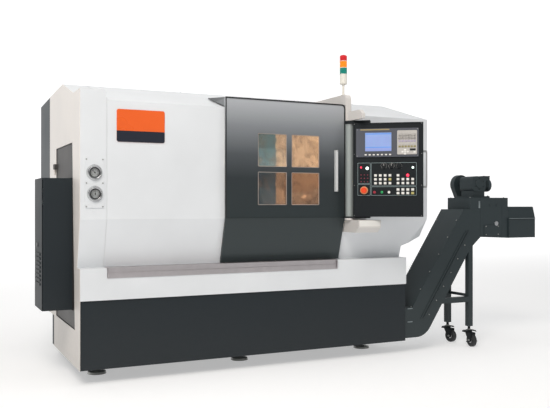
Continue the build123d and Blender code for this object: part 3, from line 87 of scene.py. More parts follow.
TROUGH_DEPTH = 217.0
TROUGH_NEAR = 16.0
TROUGH_FAR = 281.0
HEAD_LEFT = 2910.0
HEAD_RIGHT = 3281.0
HEAD_TOP = 1124.0
CHUTE_RIGHT = 3563.0
CHUTE_LIP = 965.0
GEARBOX = (3046.0, 70.0, 1231.0)
MOTOR_END = (3190.0, 145.0, 1223.0)
MOTOR_R = 47.0
CASTERS = {"near": (2915.0, 36.0, -93.0), "far": (2893.0, 261.0, -79.0)}
CASTER_TRAIL = 32.0
AXLE_HEIGHT = 48.0


def front_at(y):
    """A place whose X is the machine's X, whose Y is height, and whose Z comes out of the front."""
    return MACHINE @ Matrix.Translation((0, y, 0)) @ UPRIGHT


PENDANT = (MACHINE @ Matrix.Translation(PENDANT_CORNER)
           @ Matrix.Rotation(math.radians(PENDANT_ANGLE), 4, "Z") @ UPRIGHT)


# Finishes

# Heights in metres: where dust, and on the left end painted shade, lies thickest, the ends of the
# door's painted reflection, where its top folds back, and the rail between the upper and lower panes
DUST_AND_SHADE_FLOOR = 0.05
PAINTED_REFLECTION_FOOT = 0.69
PAINTED_REFLECTION_TOP = 1.79
TOP_FOLD = 1.6
PANE_RAIL = 1.3
# Colour of dust, which low on the left end stands as painted shade
DUST_AND_SHADE_COLOUR = "#9b968f"
# The stretch of a metal's pattern that runs in no direction
EVEN = (1.0, 1.0, 1.0)


def linear(code):
    """A colour from its sRGB hex code."""
    parts = [int(code[i:i + 2], 16) / 255 for i in (1, 3, 5)]
    return [p / 12.92 if p <= 0.04045 else ((p + 0.055) / 1.055) ** 2.4 for p in parts] + [1.0]


def per(size):
    """The scale of a pattern whose features are so many millimetres apart."""
    return 1000.0 / size


def add(tree, kind, inputs=None, **settings):
    """Adds a shader node, sets its properties, and fills its inputs with values or links."""
    node = tree.nodes.new("ShaderNode" + kind)
    for name, value in settings.items():
        setattr(node, name, value)
    for name, value in (inputs or {}).items():
        if isinstance(value, bpy.types.NodeSocket):
            tree.links.new(value, node.inputs[name])
        else:
            node.inputs[name].default_value = value
    return node


def blank(name):
    """A new material with an empty tree, and its output node."""
    material = bpy.data.materials.new(name)
    material.use_nodes = True
    tree = material.node_tree
    tree.nodes.clear()
    return material, tree, add(tree, "OutputMaterial")


def finish_surface(material, output, shader):
    """Hands a shader to the material's output."""
    material.node_tree.links.new(shader.outputs[0], output.inputs["Surface"])
    return material


def soft_relief(tree, pattern, depth, edge, strength=0.3):
    """The relief of a pattern, so many millimetres deep, over edges rounded by so many."""
    rounded_edge = add(tree, "Bevel", {"Radius": edge * MM}, samples=4)
    bump = add(tree, "Bump", {"Strength": strength, "Distance": depth * MM,
                              "Height": pattern.outputs["Fac"],
                              "Normal": rounded_edge.outputs["Normal"]})
    return bump.outputs["Normal"]


def sprayed(name, colour, roughness, peel=2.2, depth=0.05, metallic=0.0, coat=0.0, dust_and_shade=0.0,
            edge=1.2, dust_and_shade_below=0.62, gloss=0.5):
    """Sprayed paint on sheet steel: orange peel in the gloss, a slow drift of tone, softened edges,
    and dust that gathers towards the floor; made strong and high, as on the left end, this
    darkening towards the floor is painted shade."""
    material, tree, output = blank(name)
    where = add(tree, "TexCoord").outputs["Object"]
    drift = add(tree, "TexNoise", {"Vector": where, "Scale": per(420), "Detail": 3.0})
    tone = add(tree, "MapRange", {"Value": drift.outputs["Fac"], "From Min": 0.3, "From Max": 0.7,
                                  "To Min": 0.955, "To Max": 1.03})
    hsv = add(tree, "HueSaturation", {"Color": linear(colour), "Value": tone.outputs["Result"]})
    base = hsv.outputs["Color"]
    # Towards the floor the paint turns to the dust colour: real dust where weak, painted shade where
    # strong and high, as on the left end
    if dust_and_shade:
        height = add(tree, "SeparateXYZ", {"Vector": where}).outputs["Z"]
        low = add(tree, "MapRange", {"Value": height, "From Min": dust_and_shade_below,
                                     "From Max": DUST_AND_SHADE_FLOOR, "To Min": 0.0, "To Max": dust_and_shade})
        specks = add(tree, "TexNoise", {"Vector": where, "Scale": per(28), "Detail": 8.0,
                                        "Roughness": 0.7})
        cling = add(tree, "MapRange", {"Value": specks.outputs["Fac"], "To Min": 0.32,
                                       "To Max": 0.68})
        patchy = add(tree, "Math", {0: low.outputs["Result"], 1: cling.outputs["Result"]},
                     operation="MULTIPLY")
        mixed_dust_and_shade = add(tree, "MixRGB", {"Fac": patchy.outputs[0], "Color1": base,
                                     "Color2": linear(DUST_AND_SHADE_COLOUR)})
        base = mixed_dust_and_shade.outputs["Color"]
    skin = add(tree, "TexNoise", {"Vector": where, "Scale": per(peel), "Detail": 2.0})
    sheen = add(tree, "MapRange", {"Value": drift.outputs["Fac"], "From Min": 0.3, "From Max": 0.7,
                                   "To Min": roughness - 0.04, "To Max": roughness + 0.05})
    shader = add(tree, "BsdfPrincipled", {"Base Color": base, "Metallic": metallic,
                                          "Roughness": sheen.outputs["Result"],
                                          "Specular IOR Level": gloss,
                                          "Coat Weight": coat, "Coat Roughness": 0.12,
                                          "Normal": soft_relief(tree, skin, depth, edge, 0.35)})
    return finish_surface(material, output, shader)


def lacquer_with_painted_reflection(name):
    """Door skin: brushed stainless under dark smoked lacquer, with a painted reflection that makes it
    light at the top and dark below, and fine lengthwise brushing that stretches its highlights. The
    folds behind its top are darkened with painted shade."""
    material, tree, output = blank(name)
    where = add(tree, "TexCoord").outputs["Object"]
    axes = add(tree, "SeparateXYZ", {"Vector": where})
    # Painted reflection: the dark door is painted paler towards its top, standing for the bright ceiling
    # reflected in it
    span = add(tree, "MapRange", {"Value": axes.outputs["Z"], "From Min": PAINTED_REFLECTION_FOOT,
                                  "From Max": PAINTED_REFLECTION_TOP})
    reflection_ramp = add(tree, "ValToRGB", {"Fac": span.outputs["Result"]})
    stops = ((0.0, "#30393b"), (0.27, "#2a3335"), (0.5, "#2f3639"), (0.64, "#53585c"),
             (0.8, "#8a8e92"), (0.955, "#bcbfc3"), (0.965, "#8a8c8e"), (1.0, "#808284"))
    for element, (place, colour) in zip(reflection_ramp.color_ramp.elements, (stops[0], stops[-1])):
        element.position = place
        element.color = linear(colour)
    for place, colour in stops[1:-1]:
        reflection_ramp.color_ramp.elements.new(place).color = linear(colour)
    stretched = add(tree, "Mapping", {"Vector": where, "Scale": (4.0, 60.0, per(0.9))})
    lines = add(tree, "TexNoise", {"Vector": stretched.outputs["Vector"], "Scale": 1.0,
                                   "Detail": 3.0})
    grain = add(tree, "MapRange", {"Value": lines.outputs["Fac"], "To Min": 0.94, "To Max": 1.06})
    # Painted shade: the returns just behind the door's face, above its top fold, are painted dark
    face = ZERO.y + DOOR_FACE * MM
    behind = add(tree, "MapRange", {"Value": axes.outputs["Y"], "From Min": face + 0.006,
                                    "From Max": face + 0.04, "To Max": 0.6})
    raised = add(tree, "MapRange", {"Value": axes.outputs["Z"], "From Min": TOP_FOLD,
                                    "From Max": TOP_FOLD + 0.04})
    returns = add(tree, "Math", {0: behind.outputs["Result"], 1: raised.outputs["Result"]},
                  operation="MULTIPLY")
    painted_fold_shade = add(tree, "MixRGB", {"Fac": returns.outputs[0], "Color1": reflection_ramp.outputs["Color"],
                                  "Color2": linear("#1e2224")})
    toned = add(tree, "HueSaturation", {"Color": painted_fold_shade.outputs["Color"],
                                        "Value": grain.outputs["Result"]})
    shader = add(tree, "BsdfPrincipled", {"Base Color": toned.outputs["Color"], "Metallic": 0.35,
                                          "Roughness": 0.42, "Coat Weight": 0.15,
                                          "Coat Roughness": 0.2,
                                          "Normal": soft_relief(tree, lines, 0.02, 2.0, 0.12)})
    return finish_surface(material, output, shader)


def metal(name, colour, roughness, spacing, along, depth=0.02, spots=0.0):
    """Bare metal with tool or brush marks, stretched along one direction, and faint stains."""
    material, tree, output = blank(name)
    where = add(tree, "TexCoord").outputs["Object"]
    reach = [per(spacing) / factor for factor in along]
    stretched = add(tree, "Mapping", {"Vector": where, "Scale": reach})
    lines = add(tree, "TexNoise", {"Vector": stretched.outputs["Vector"], "Scale": 1.0,
                                   "Detail": 4.0})
    stains = add(tree, "TexNoise", {"Vector": where, "Scale": per(60), "Detail": 5.0})
    rough = add(tree, "MapRange", {"Value": lines.outputs["Fac"], "To Min": roughness - 0.08,
                                   "To Max": roughness + 0.12})
    tone = add(tree, "MapRange", {"Value": stains.outputs["Fac"], "From Min": 0.3, "From Max": 0.75,
                                  "To Min": 1.04, "To Max": 0.92 - spots})
    toned = add(tree, "HueSaturation", {"Color": linear(colour), "Value": tone.outputs["Result"]})
    shader = add(tree, "BsdfPrincipled", {"Base Color": toned.outputs["Color"], "Metallic": 1.0,
                                          "Roughness": rough.outputs["Result"],
                                          "Normal": soft_relief(tree, lines, depth, 0.8)})
    return finish_surface(material, output, shader)


def moulded(name, colour, roughness, specks=0.0):
    """Moulded plastic or rubber with its fine spark-eroded grain and a slight unevenness."""
    material, tree, output = blank(name)
    where = add(tree, "TexCoord").outputs["Object"]
    skin = add(tree, "TexNoise", {"Vector": where, "Scale": per(0.9), "Detail": 2.0})
    cloud = add(tree, "TexNoise", {"Vector": where, "Scale": per(45), "Detail": 4.0})
    tone = add(tree, "MapRange", {"Value": cloud.outputs["Fac"], "To Min": 0.96 - specks,
                                  "To Max": 1.04})
    toned = add(tree, "HueSaturation", {"Color": linear(colour), "Value": tone.outputs["Result"]})
    rough = add(tree, "MapRange", {"Value": cloud.outputs["Fac"], "To Min": roughness - 0.05,
                                   "To Max": roughness + 0.05})
    shader = add(tree, "BsdfPrincipled", {"Base Color": toned.outputs["Color"],
                                          "Roughness": rough.outputs["Result"],
                                          "Normal": soft_relief(tree, skin, 0.03, 0.6)})
    return finish_surface(material, output, shader)


def clear(name, colour, roughness, weight=1.0, glow=0.0):
    """Glass or translucent plastic, with the faint smears that a coolant mist leaves."""
    material, tree, output = blank(name)
    where = add(tree, "TexCoord").outputs["Object"]
    smear = add(tree, "TexNoise", {"Vector": where, "Scale": per(70), "Detail": 5.0,
                                   "Distortion": 1.2})
    rough = add(tree, "MapRange", {"Value": smear.outputs["Fac"], "From Min": 0.4, "From Max": 0.8,
                                   "To Min": roughness, "To Max": roughness + 0.12})
    shader = add(tree, "BsdfPrincipled", {"Base Color": linear(colour),
                                          "Roughness": rough.outputs["Result"], "IOR": 1.5,
                                          "Transmission Weight": weight,
                                          "Emission Color": linear(colour),
                                          "Emission Strength": glow})
    return finish_surface(material, output, shader)


def laminated_glass(name):
    """Laminated safety glass of the door with an amber film; the chamber seen through it is painted into
    the film, in shade as a smoky teal to the left of the turret and lit amber to its right, darker and
    browner in the lower panes, and the glass is given a faint painted glow."""
    material, tree, output = blank(name)
    where = add(tree, "TexCoord").outputs["Object"]
    place = add(tree, "SeparateXYZ", {"Vector": where})
    cloud = add(tree, "TexNoise", {"Vector": where, "Scale": per(55), "Detail": 4.0})
    wander = add(tree, "MapRange", {"Value": cloud.outputs["Fac"], "To Min": -0.016, "To Max": 0.016})
    across = add(tree, "Math", {0: place.outputs["X"], 1: wander.outputs["Result"]}, operation="ADD")
    # Painted shade and light of the chamber behind the panes: smoky teal to the left, lit amber to the
    # right, darker and browner below the rail
    edge = ZERO.x + SHADE_END * MM
    right = add(tree, "MapRange", {"Value": across.outputs[0], "From Min": edge - 0.006,
                                   "From Max": edge + 0.006})
    upper = add(tree, "MapRange", {"Value": place.outputs["Z"], "From Min": PANE_RAIL - 0.03,
                                   "From Max": PANE_RAIL + 0.03})
    shade = add(tree, "MixRGB", {"Fac": upper.outputs["Result"], "Color1": linear("#59656c"),
                                 "Color2": linear("#7c9aa1")})
    amber_and_painted_light = add(tree, "MixRGB", {"Fac": upper.outputs["Result"], "Color1": linear("#c09a7c"),
                                 "Color2": linear("#f6dcc0")})
    film_and_painted_chamber = add(tree, "MixRGB", {"Fac": right.outputs["Result"], "Color1": shade.outputs["Color"],
                                "Color2": amber_and_painted_light.outputs["Color"]})
    smear = add(tree, "MapRange", {"Value": cloud.outputs["Fac"], "From Min": 0.4, "From Max": 0.8,
                                   "To Min": 0.05, "To Max": 0.2})
    runs = add(tree, "Mapping", {"Vector": where, "Scale": (per(90), 1.0, per(110))})
    stain = add(tree, "TexNoise", {"Vector": runs.outputs["Vector"], "Scale": 1.0, "Detail": 2.5,
                                   "Distortion": 1.4})
    worn = add(tree, "MapRange", {"Value": stain.outputs["Fac"], "From Min": 0.34, "From Max": 0.6,
                                  "To Min": 0.5, "To Max": 0.0})
    film_and_painted_chamber = add(tree, "MixRGB", {"Fac": worn.outputs["Result"], "Color1": film_and_painted_chamber.outputs["Color"],
                                "Color2": linear("#8a6f5e")})
    # The film's faint glow is painted light
    shader = add(tree, "BsdfPrincipled", {"Base Color": film_and_painted_chamber.outputs["Color"], "IOR": 1.5,
                                          "Roughness": smear.outputs["Result"],
                                          "Transmission Weight": 0.85,
                                          "Emission Color": film_and_painted_chamber.outputs["Color"],
                                          "Emission Strength": 0.06})
    return finish_surface(material, output, shader)


def lit(name, colour, strength):
    """A lit surface behind its diffuser, a little uneven as backlights are."""
    material, tree, output = blank(name)
    where = add(tree, "TexCoord").outputs["Object"]
    cloud = add(tree, "TexNoise", {"Vector": where, "Scale": per(90), "Detail": 2.0})
    tone = add(tree, "MapRange", {"Value": cloud.outputs["Fac"], "To Min": 0.92, "To Max": 1.08})
    toned = add(tree, "HueSaturation", {"Color": linear(colour), "Value": tone.outputs["Result"]})
    shader = add(tree, "BsdfPrincipled", {"Base Color": toned.outputs["Color"], "Roughness": 0.3,
                                          "Emission Color": toned.outputs["Color"],
                                          "Emission Strength": strength})
    return finish_surface(material, output, shader)


FINISH = {
    # Textured polyurethane on the enclosure: cool white, satin, with orange peel
    "white_paint": sprayed("polyurethane_white", "#dde0e3", 0.42, dust_and_shade=0.03),
    # The same paint on the left end, with painted warm light on its sunlit side and painted shade
    # darkening it from 1.25 m down
    "warm_white_paint": sprayed("polyurethane_white_painted_warm_light_and_shade", "#e9e4df", 0.45, dust_and_shade=0.95,
                                dust_and_shade_below=1.25),
    # Base and spindle end cover: structure paint, nearly matt, with a coarse orange peel
    "dark_base_paint": sprayed("structure_paint_blue_black", "#1c2429", 0.55, peel=3.0, depth=0.12,
                               dust_and_shade=0.06, gloss=0.3),
    # Sliding door: smoked lacquer over brushed stainless, with a painted reflection that makes it pale
    # only near its top
    "dark_door_paint": lacquer_with_painted_reflection("dark_stainless_painted_reflection"),
    # Conveyor: charcoal enamel, sprayed thick enough to show its orange peel
    "charcoal_paint": sprayed("charcoal_enamel", "#293336", 0.5, peel=2.6, depth=0.08, dust_and_shade=0.06,
                              gloss=0.35),
    # Pendant housing, caster forks and motor: black powder coat with a fine grain
    "black_paint": sprayed("black_powder_coat", "#12181c", 0.55, peel=1.2, depth=0.06, gloss=0.25),
    # Electrical cabinet and fan cowl: slate powder coat with a fine grain
    "cabinet_paint": sprayed("slate_powder_coat", "#343d42", 0.5, peel=1.6, depth=0.06, dust_and_shade=0.06,
                             gloss=0.35),
    # Hood column, pendant post and its arm: beige enamel, satin
    "beige_paint": sprayed("beige_enamel", "#d6d2ce", 0.42),
    # Machine enamel brushed over filler on castings: thick and glossy
    "grey_cast": sprayed("casting_enamel_grey", "#868d90", 0.3, peel=14.0, depth=0.5, edge=3.0),
    # Scraped cast iron under an oil film: dull grey with dark stains
    "bare_cast_iron": metal("scraped_cast_iron", "#77787a", 0.42, 6.0, EVEN, 0.06, 0.1),
    # Turned and ground steel: bright, with fine tool marks across the machine's length
    "machined_steel": metal("ground_steel", "#b6b8ba", 0.28, 0.8, (1.0, 30.0, 30.0)),
    # Chamber walls: stainless sheet whose brushing runs level
    "stainless_sheet": metal("brushed_stainless", "#b9b4ab", 0.34, 1.0, (40.0, 40.0, 1.0)),
    # Screws and pads: zinc plate, cloudy and a little stained
    "zinc_steel": metal("zinc_plate", "#a9aaa7", 0.4, 2.5, EVEN, 0.03, 0.05),
    # Door track: anodised aluminium drawn lengthwise, silky
    "track_aluminium": metal("anodised_aluminium", "#bdb8ba", 0.38, 0.9, (60.0, 1.0, 1.0)),
    # Seals and drive belt: nitrile rubber, matt
    "black_rubber": moulded("black_nitrile_rubber", "#191a1b", 0.7),
    # Caster wheels: polyurethane, mottled where dust is pressed in
    "caster_tyre": moulded("polyurethane_tyre", "#26282a", 0.55, specks=0.08),
    # Door panes: safety glass with an amber film, and the shaded and lit chamber behind painted into it
    "window_glass": laminated_glass("laminated_safety_glass"),
    # Gauge cases and hub caps: polished stainless, nearly a mirror
    "gauge_steel": metal("polished_stainless", "#d3d4d5", 0.14, 1.5, EVEN, 0.01),
    # Nameplate: orange stove enamel under a clear coat
    "nameplate_enamel": sprayed("orange_stove_enamel", "#e8601f", 0.28, peel=4.0, coat=0.3),
    # Door handle: light grey polyamide, satin
    "handle_plastic": moulded("light_grey_polyamide", "#cfd1d2", 0.4),
    # Screen and keypad unit: grained ABS
    "panel_plastic": moulded("grey_abs_bezel", "#4b4e57", 0.5),
    # Knobs and small fittings: phenolic, pressed smooth and glossy
    "knob_plastic": moulded("black_phenolic", "#15171a", 0.32),
    # Push buttons and keys: polycarbonate, coloured through
    "red_plastic": moulded("red_polycarbonate", "#e8491f", 0.3),
    "green_plastic": moulded("green_polycarbonate", "#2c9a5a", 0.3),
    "white_plastic": moulded("white_polycarbonate", "#e6e4df", 0.35),
    # Signal lenses: tinted acrylic, half clear
    "lens_green": clear("green_acrylic_lens", "#1f8f82", 0.16, 0.55, 0.25),
    "lens_amber": clear("amber_acrylic_lens", "#f09a26", 0.16, 0.55, 0.3),
    "lens_red": clear("red_acrylic_lens", "#cc2f36", 0.16, 0.55, 0.25),
}
EXTRA = {
    # Service door: taupe powder coat
    "recess_paint": sprayed("taupe_powder_coat", "#42403f", 0.5, peel=1.6, dust_and_shade=0.1, gloss=0.35),
    # Lower field of the nameplate: dark stove enamel under a clear coat
    "dark_enamel": sprayed("dark_stove_enamel", "#1b202d", 0.3, peel=4.0, coat=0.3),
    # Pendant post: steel tube whose thin grey lacquer lets the metal show
    "steel_tube": sprayed("satin_lacquered_tube", "#a2a9a7", 0.4, peel=1.2, metallic=0.25),
    # Joints of the white sheets: sealant, a little duller than the paint
    "seam_sealant": moulded("white_seam_sealant", "#d6d8da", 0.5),
    # Signal light's foot and collars: ivory ABS, satin
    "signal_ivory": moulded("ivory_abs", "#e6e2d8", 0.4),
    # Liquid crystal screen: backlit blue with plain fields
    "screen": lit("liquid_crystal_blue", "#8499c8", 0.32),
    "screen_band": lit("liquid_crystal_band", "#5c8ad0", 0.35),
    "screen_foot": lit("liquid_crystal_foot", "#8693c8", 0.32),
    # Pilot lamps and diodes: coloured caps lit from behind
    "lamp_white": lit("pilot_lamp_white", "#e8fff4", 2.2),
    "lamp_red": lit("pilot_lamp_red", "#ff2f4c", 1.6),
    "diode_red": lit("diode_red", "#8a2038", 0.25),
    # Feed hold button: dull red polycarbonate
    "button_red": moulded("dull_red_polycarbonate", "#a22c3c", 0.35),
    # Strip on the bezel: foil in a bronze tone
    "strip_bronze": moulded("bronze_foil", "#9a8a62", 0.45),
    # Keypad: printed polyester over its keys, muted and satin
    "key_beige": moulded("key_beige", "#bcb8b3", 0.5),
    "key_lilac": moulded("key_lilac", "#a9a0b4", 0.5),
    "key_olive": moulded("key_olive", "#8b8258", 0.5),
    "key_yellow": moulded("key_yellow", "#b8ae6c", 0.45),
    # Pendant's side handle: grey polyamide, satin
    "grip_grey": moulded("satin_grey_polyamide", "#8d8f90", 0.4),
    # Glazing bead of the panes: silicone, greyed by oil mist
    "pane_bead": moulded("grey_silicone_bead", "#a1958e", 0.5),
    # Gauge rims: polished zinc, duller than the cases
    "gauge_ring": metal("polished_zinc_ring", "#b4b6b7", 0.22, 1.5, EVEN, 0.01),
    # Outlines of the panel's fields: grey screen print, matt
    "line_grey": moulded("screen_print_grey", "#8b9b9d", 0.6),
    # Gauge dials: enamel, off-white
    "dial_white": moulded("enamelled_dial", "#cfd2d2", 0.4),
    # Guard ring of the emergency stop: sand-coloured plastic
    "ring_orange": moulded("sand_guard_ring", "#dd9a66", 0.4),
    # Chamber lamp: fluorescent tube, warm through the panes
    "worklight": lit("fluorescent_tube", "#ffd9ae", 14.0),
    # Gauge glasses: clear mineral glass
    "gauge_glass": clear("mineral_glass", "#ffffff", 0.0),
    # Conveyor edges rubbed down to bare steel
    "bare_edge": metal("worn_edge", "#8f989a", 0.4, 2.0, EVEN),
}


# Shapes

CORNER_STEPS = 5
CREASE = math.radians(35.0)


def soften(shape, verts, offset):
    """Rounds every edge between these corners."""
    edges = {edge for vert in verts for edge in vert.link_edges}
    bmesh.ops.bevel(shape, geom=list(edges), offset=offset, offset_type="OFFSET", segments=2,
                    profile=0.5, affect="EDGES", material=-1, clamp_overlap=True)


def bar(shape, low, high, round_off=0.0):
    """A box between two corners, its edges rounded."""
    size = [b - a for a, b in zip(low, high)]
    middle = [(a + b) / 2 for a, b in zip(low, high)]
    place = Matrix.Translation(middle) @ Matrix.Diagonal((*size, 1.0))
    made = bmesh.ops.create_cube(shape, size=1.0, matrix=place)
    if round_off:
        soften(shape, made["verts"], round_off)


def drum(shape, start, end, radius, far_radius=None, sides=32, rim=0.0):
    """A round bar or cone from one point to another, its rims rounded."""
    start, end = Vector(start), Vector(end)
    axis = end - start
    turn = axis.to_track_quat("Z", "Y").to_matrix().to_4x4()
    place = Matrix.Translation((start + end) / 2) @ turn
    far = radius if far_radius is None else far_radius
    made = bmesh.ops.create_cone(shape, cap_ends=True, segments=sides, radius1=radius,
                                 radius2=far, depth=axis.length, matrix=place)
    if rim:
        caps = [f for f in {f for v in made["verts"] for f in v.link_faces} if len(f.verts) == sides]
        edges = list({edge for face in caps for edge in face.edges})
        bmesh.ops.bevel(shape, geom=edges, offset=rim, offset_type="OFFSET", segments=2,
                        profile=0.5, affect="EDGES", material=-1)


def turned(shape, profile, centre, axis=(0, 0, 1), sides=36):
    """A profile of radius and height, turned about an axis through a centre."""
    path = [shape.verts.new((radius, 0, height)) for radius, height in profile]
    edges = [shape.edges.new(pair) for pair in zip(path, path[1:])]
    bmesh.ops.spin(shape, geom=path + edges, cent=(0, 0, 0), axis=(0, 0, 1), dvec=(0, 0, 0),
                   angle=math.tau, steps=sides, use_merge=True)
    kept = next(vert for vert in path if vert.is_valid)
    bmesh.ops.remove_doubles(shape, verts=connected(kept), dist=1e-4)
    kept = next(vert for vert in path if vert.is_valid)
    whole = connected(kept)
    turn = Vector(axis).to_track_quat("Z", "Y").to_matrix().to_4x4()
    bmesh.ops.transform(shape, matrix=Matrix.Translation(centre) @ turn, verts=whole)


def connected(start):
    """Every corner that is joined to this one."""
    found, waiting = {start}, [start]
    while waiting:
        vert = waiting.pop()
        for edge in vert.link_edges:
            other = edge.other_vert(vert)
            if other not in found:
                found.add(other)
                waiting.append(other)
    return list(found)


def rounded(left, low, right, high, radius):
    """Corner points of a rectangle with round corners; radius may differ from corner to corner,
    from the lower left one round to the upper left one."""
    radii = radius if isinstance(radius, tuple) else (radius,) * 4
    corners = ((left, low, 1, 1, 180), (right, low, -1, 1, 270), (right, high, -1, -1, 0),
               (left, high, 1, -1, 90))
    points = []
    for (x, y, inward_x, inward_y, start), r in zip(corners, radii):
        if not r:
            points.append((x, y))
            continue
        for step in range(CORNER_STEPS + 1):
            angle = math.radians(start + 90 * step / CORNER_STEPS)
            points.append((x + inward_x * r + r * math.cos(angle),
                           y + inward_y * r + r * math.sin(angle)))
    return points


def slab(shape, outline, low, high):
    """An outline in X and Y, pushed from one height to another."""
    face = shape.faces.new([shape.verts.new((x, y, low)) for x, y in outline])
    made = bmesh.ops.extrude_face_region(shape, geom=[face])
    top = [item for item in made["geom"] if isinstance(item, bmesh.types.BMVert)]
    bmesh.ops.translate(shape, vec=(0, 0, high - low), verts=top)


def band(shape, outer, inner, low, high):
    """A flat ring between two outlines of as many points, pushed from one height to another."""
    loops = []
    for outline in (outer, inner):
        verts = [shape.verts.new((x, y, low)) for x, y in outline]
        loops.append([shape.edges.new(pair) for pair in zip(verts, verts[1:] + verts[:1])])
    ring = bmesh.ops.bridge_loops(shape, edges=loops[0] + loops[1])
    made = bmesh.ops.extrude_face_region(shape, geom=ring["faces"])
    top = [item for item in made["geom"] if isinstance(item, bmesh.types.BMVert)]
    bmesh.ops.translate(shape, vec=(0, 0, high - low), verts=top)


def ray(angle):
    """The direction of an angle in the plane of X and Y."""
    return Vector((math.cos(angle), math.sin(angle), 0))


def tick(shape, centre, angle, near, far, width, thickness):
    """A small bar that points away from a dial's centre."""
    place = Matrix.Translation(Vector(centre) + ray(angle) * (near + far) / 2)
    size = Matrix.Diagonal((far - near, width, thickness, 1.0))
    bmesh.ops.create_cube(shape, size=1.0, matrix=place @ Matrix.Rotation(angle, 4, "Z") @ size)


def collar(inner, outer, low, high):
    """The closed profile of a plain ring."""
    return [(inner, low), (outer, low), (outer, high), (inner, high), (inner, low)]


def screw(shape, place, out, radius=4.0):
    """A socket-head screw whose head stands on a surface."""
    profile = [(0, radius * 0.35), (radius * 0.5, radius * 0.35), (radius * 0.55, radius * 0.8),
               (radius * 0.85, radius * 0.8), (radius, radius * 0.6), (radius, -0.2), (0, -0.2)]
    turned(shape, profile, place, out, sides=12)


def piece(name, shape, finish, body="base", place=MACHINE):
    """Ends a shape: a named mesh in the row's frame that rides on a body."""
    shape.transform(place)
    bmesh.ops.recalc_face_normals(shape, faces=shape.faces)
    mesh = bpy.data.meshes.new(name)
    shape.to_mesh(mesh)
    shape.free()
    mesh.polygons.foreach_set("use_smooth", [True] * len(mesh.polygons))
    mesh.set_sharp_from_angle(angle=CREASE)
    mesh.materials.append(EXTRA.get(finish) or FINISH[finish])
    thing = bpy.data.objects.new(name, mesh)
    bpy.context.scene.collection.objects.link(thing)
    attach(thing, body)


def on_pendant(name, shape, finish, body="pendant"):
    """Ends a shape that is drawn in the frame of the pendant's front."""
    piece(name, shape, finish, body, PENDANT)


# The parts' own finishes

def dress_parts():
    """Gives each part the finish of its slot, or a closer one where the photo shows it."""
    closer = {"side_door": EXTRA["recess_paint"], "feed_hold": EXTRA["button_red"],
              "gauge_plate": FINISH["white_paint"], "signal_pole": EXTRA["signal_ivory"]}
    for entry in frame["record"]["subparts"]:
        node = frame["nodes"][entry["node"]]
        node.material_slots[0].material = closer.get(entry["node"], FINISH[entry["material_slot"]])


# Enclosure

def add_nameplate():
    """Two bare fields of enamel: orange above, dark below."""
    left, low, right, high = 216.6, 1444.6, 512.9, 1640.4
    split = 1512.0
    radius = 12.0
    thickness = 1.2
    upper = bmesh.new()
    slab(upper, rounded(left, split, right, high, (0, 0, radius, radius)), 0, thickness)
    piece("nameplate_upper_field", upper, "nameplate_enamel", place=front_at(-3))
    lower = bmesh.new()
    slab(lower, rounded(left, low, right, split - 1, (radius, radius, 0, 0)), 0, thickness)
    piece("nameplate_lower_field", lower, "dark_enamel", place=front_at(-3))


def add_gauges():
    """Glass, dial, scale and needle in each gauge, and the screws of its plate."""
    dials, marks, needles, glasses, rims, bezels, screws = (bmesh.new() for _ in range(7))
    for (x, z), reading in zip(GAUGES, (130.0, 95.0)):
        centre = Vector((x, z, 0))
        drum(dials, centre + Vector((0, 0, 10)), centre + Vector((0, 0, 11.5)), 33.0)
        turned(bezels, [(25.0, 11), (25.0, 13.6), (31.5, 14.4), (31.5, 11), (25.0, 11)], centre)
        for step in range(28):
            near = 18.0 if step % 3 else 14.0
            tick(marks, (x, z, 11.7), math.radians(225 - step * 10), near, 24.0, 1.4, 0.6)
        aim = ray(math.radians(reading))
        hub = Vector((x, z, 13))
        drum(needles, hub - aim * 7, hub + aim * 21, 2.0, 0.8, 8)
        drum(needles, centre + Vector((0, 0, 11)), centre + Vector((0, 0, 14.5)), 4.0, sides=16)
        drum(glasses, centre + Vector((0, 0, 15)), centre + Vector((0, 0, 16.5)), 33.6)
        turned(rims, [(31.0, 15.5), (33.0, 18.6), (35.0, 19.5), (38.5, 19.5), (41.0, 17.0),
                      (41.0, 12), (31, 12), (31.0, 15.5)], centre)
        for step in range(3):
            spot = Vector((x, z, 8)) + ray(math.radians(90 + 120 * step)) * 44.5
            screw(screws, spot, (0, 0, 1), 2.6)
    for x in (38.0, 134.0):
        for z in (1056.0, 1195.0, 1335.0):
            screw(screws, (x, z, 4), (0, 0, 1), 4.2)
    place = front_at(0)
    piece("gauge_dials", dials, "dial_white", place=place)
    piece("gauge_scales", marks, "black_rubber", place=place)
    piece("gauge_bezels", bezels, "knob_plastic", place=place)
    piece("gauge_needles", needles, "knob_plastic", place=place)
    piece("gauge_glasses", glasses, "gauge_glass", place=place)
    piece("gauge_rims", rims, "gauge_ring", place=place)
    piece("gauge_screws", screws, "zinc_steel", place=place)


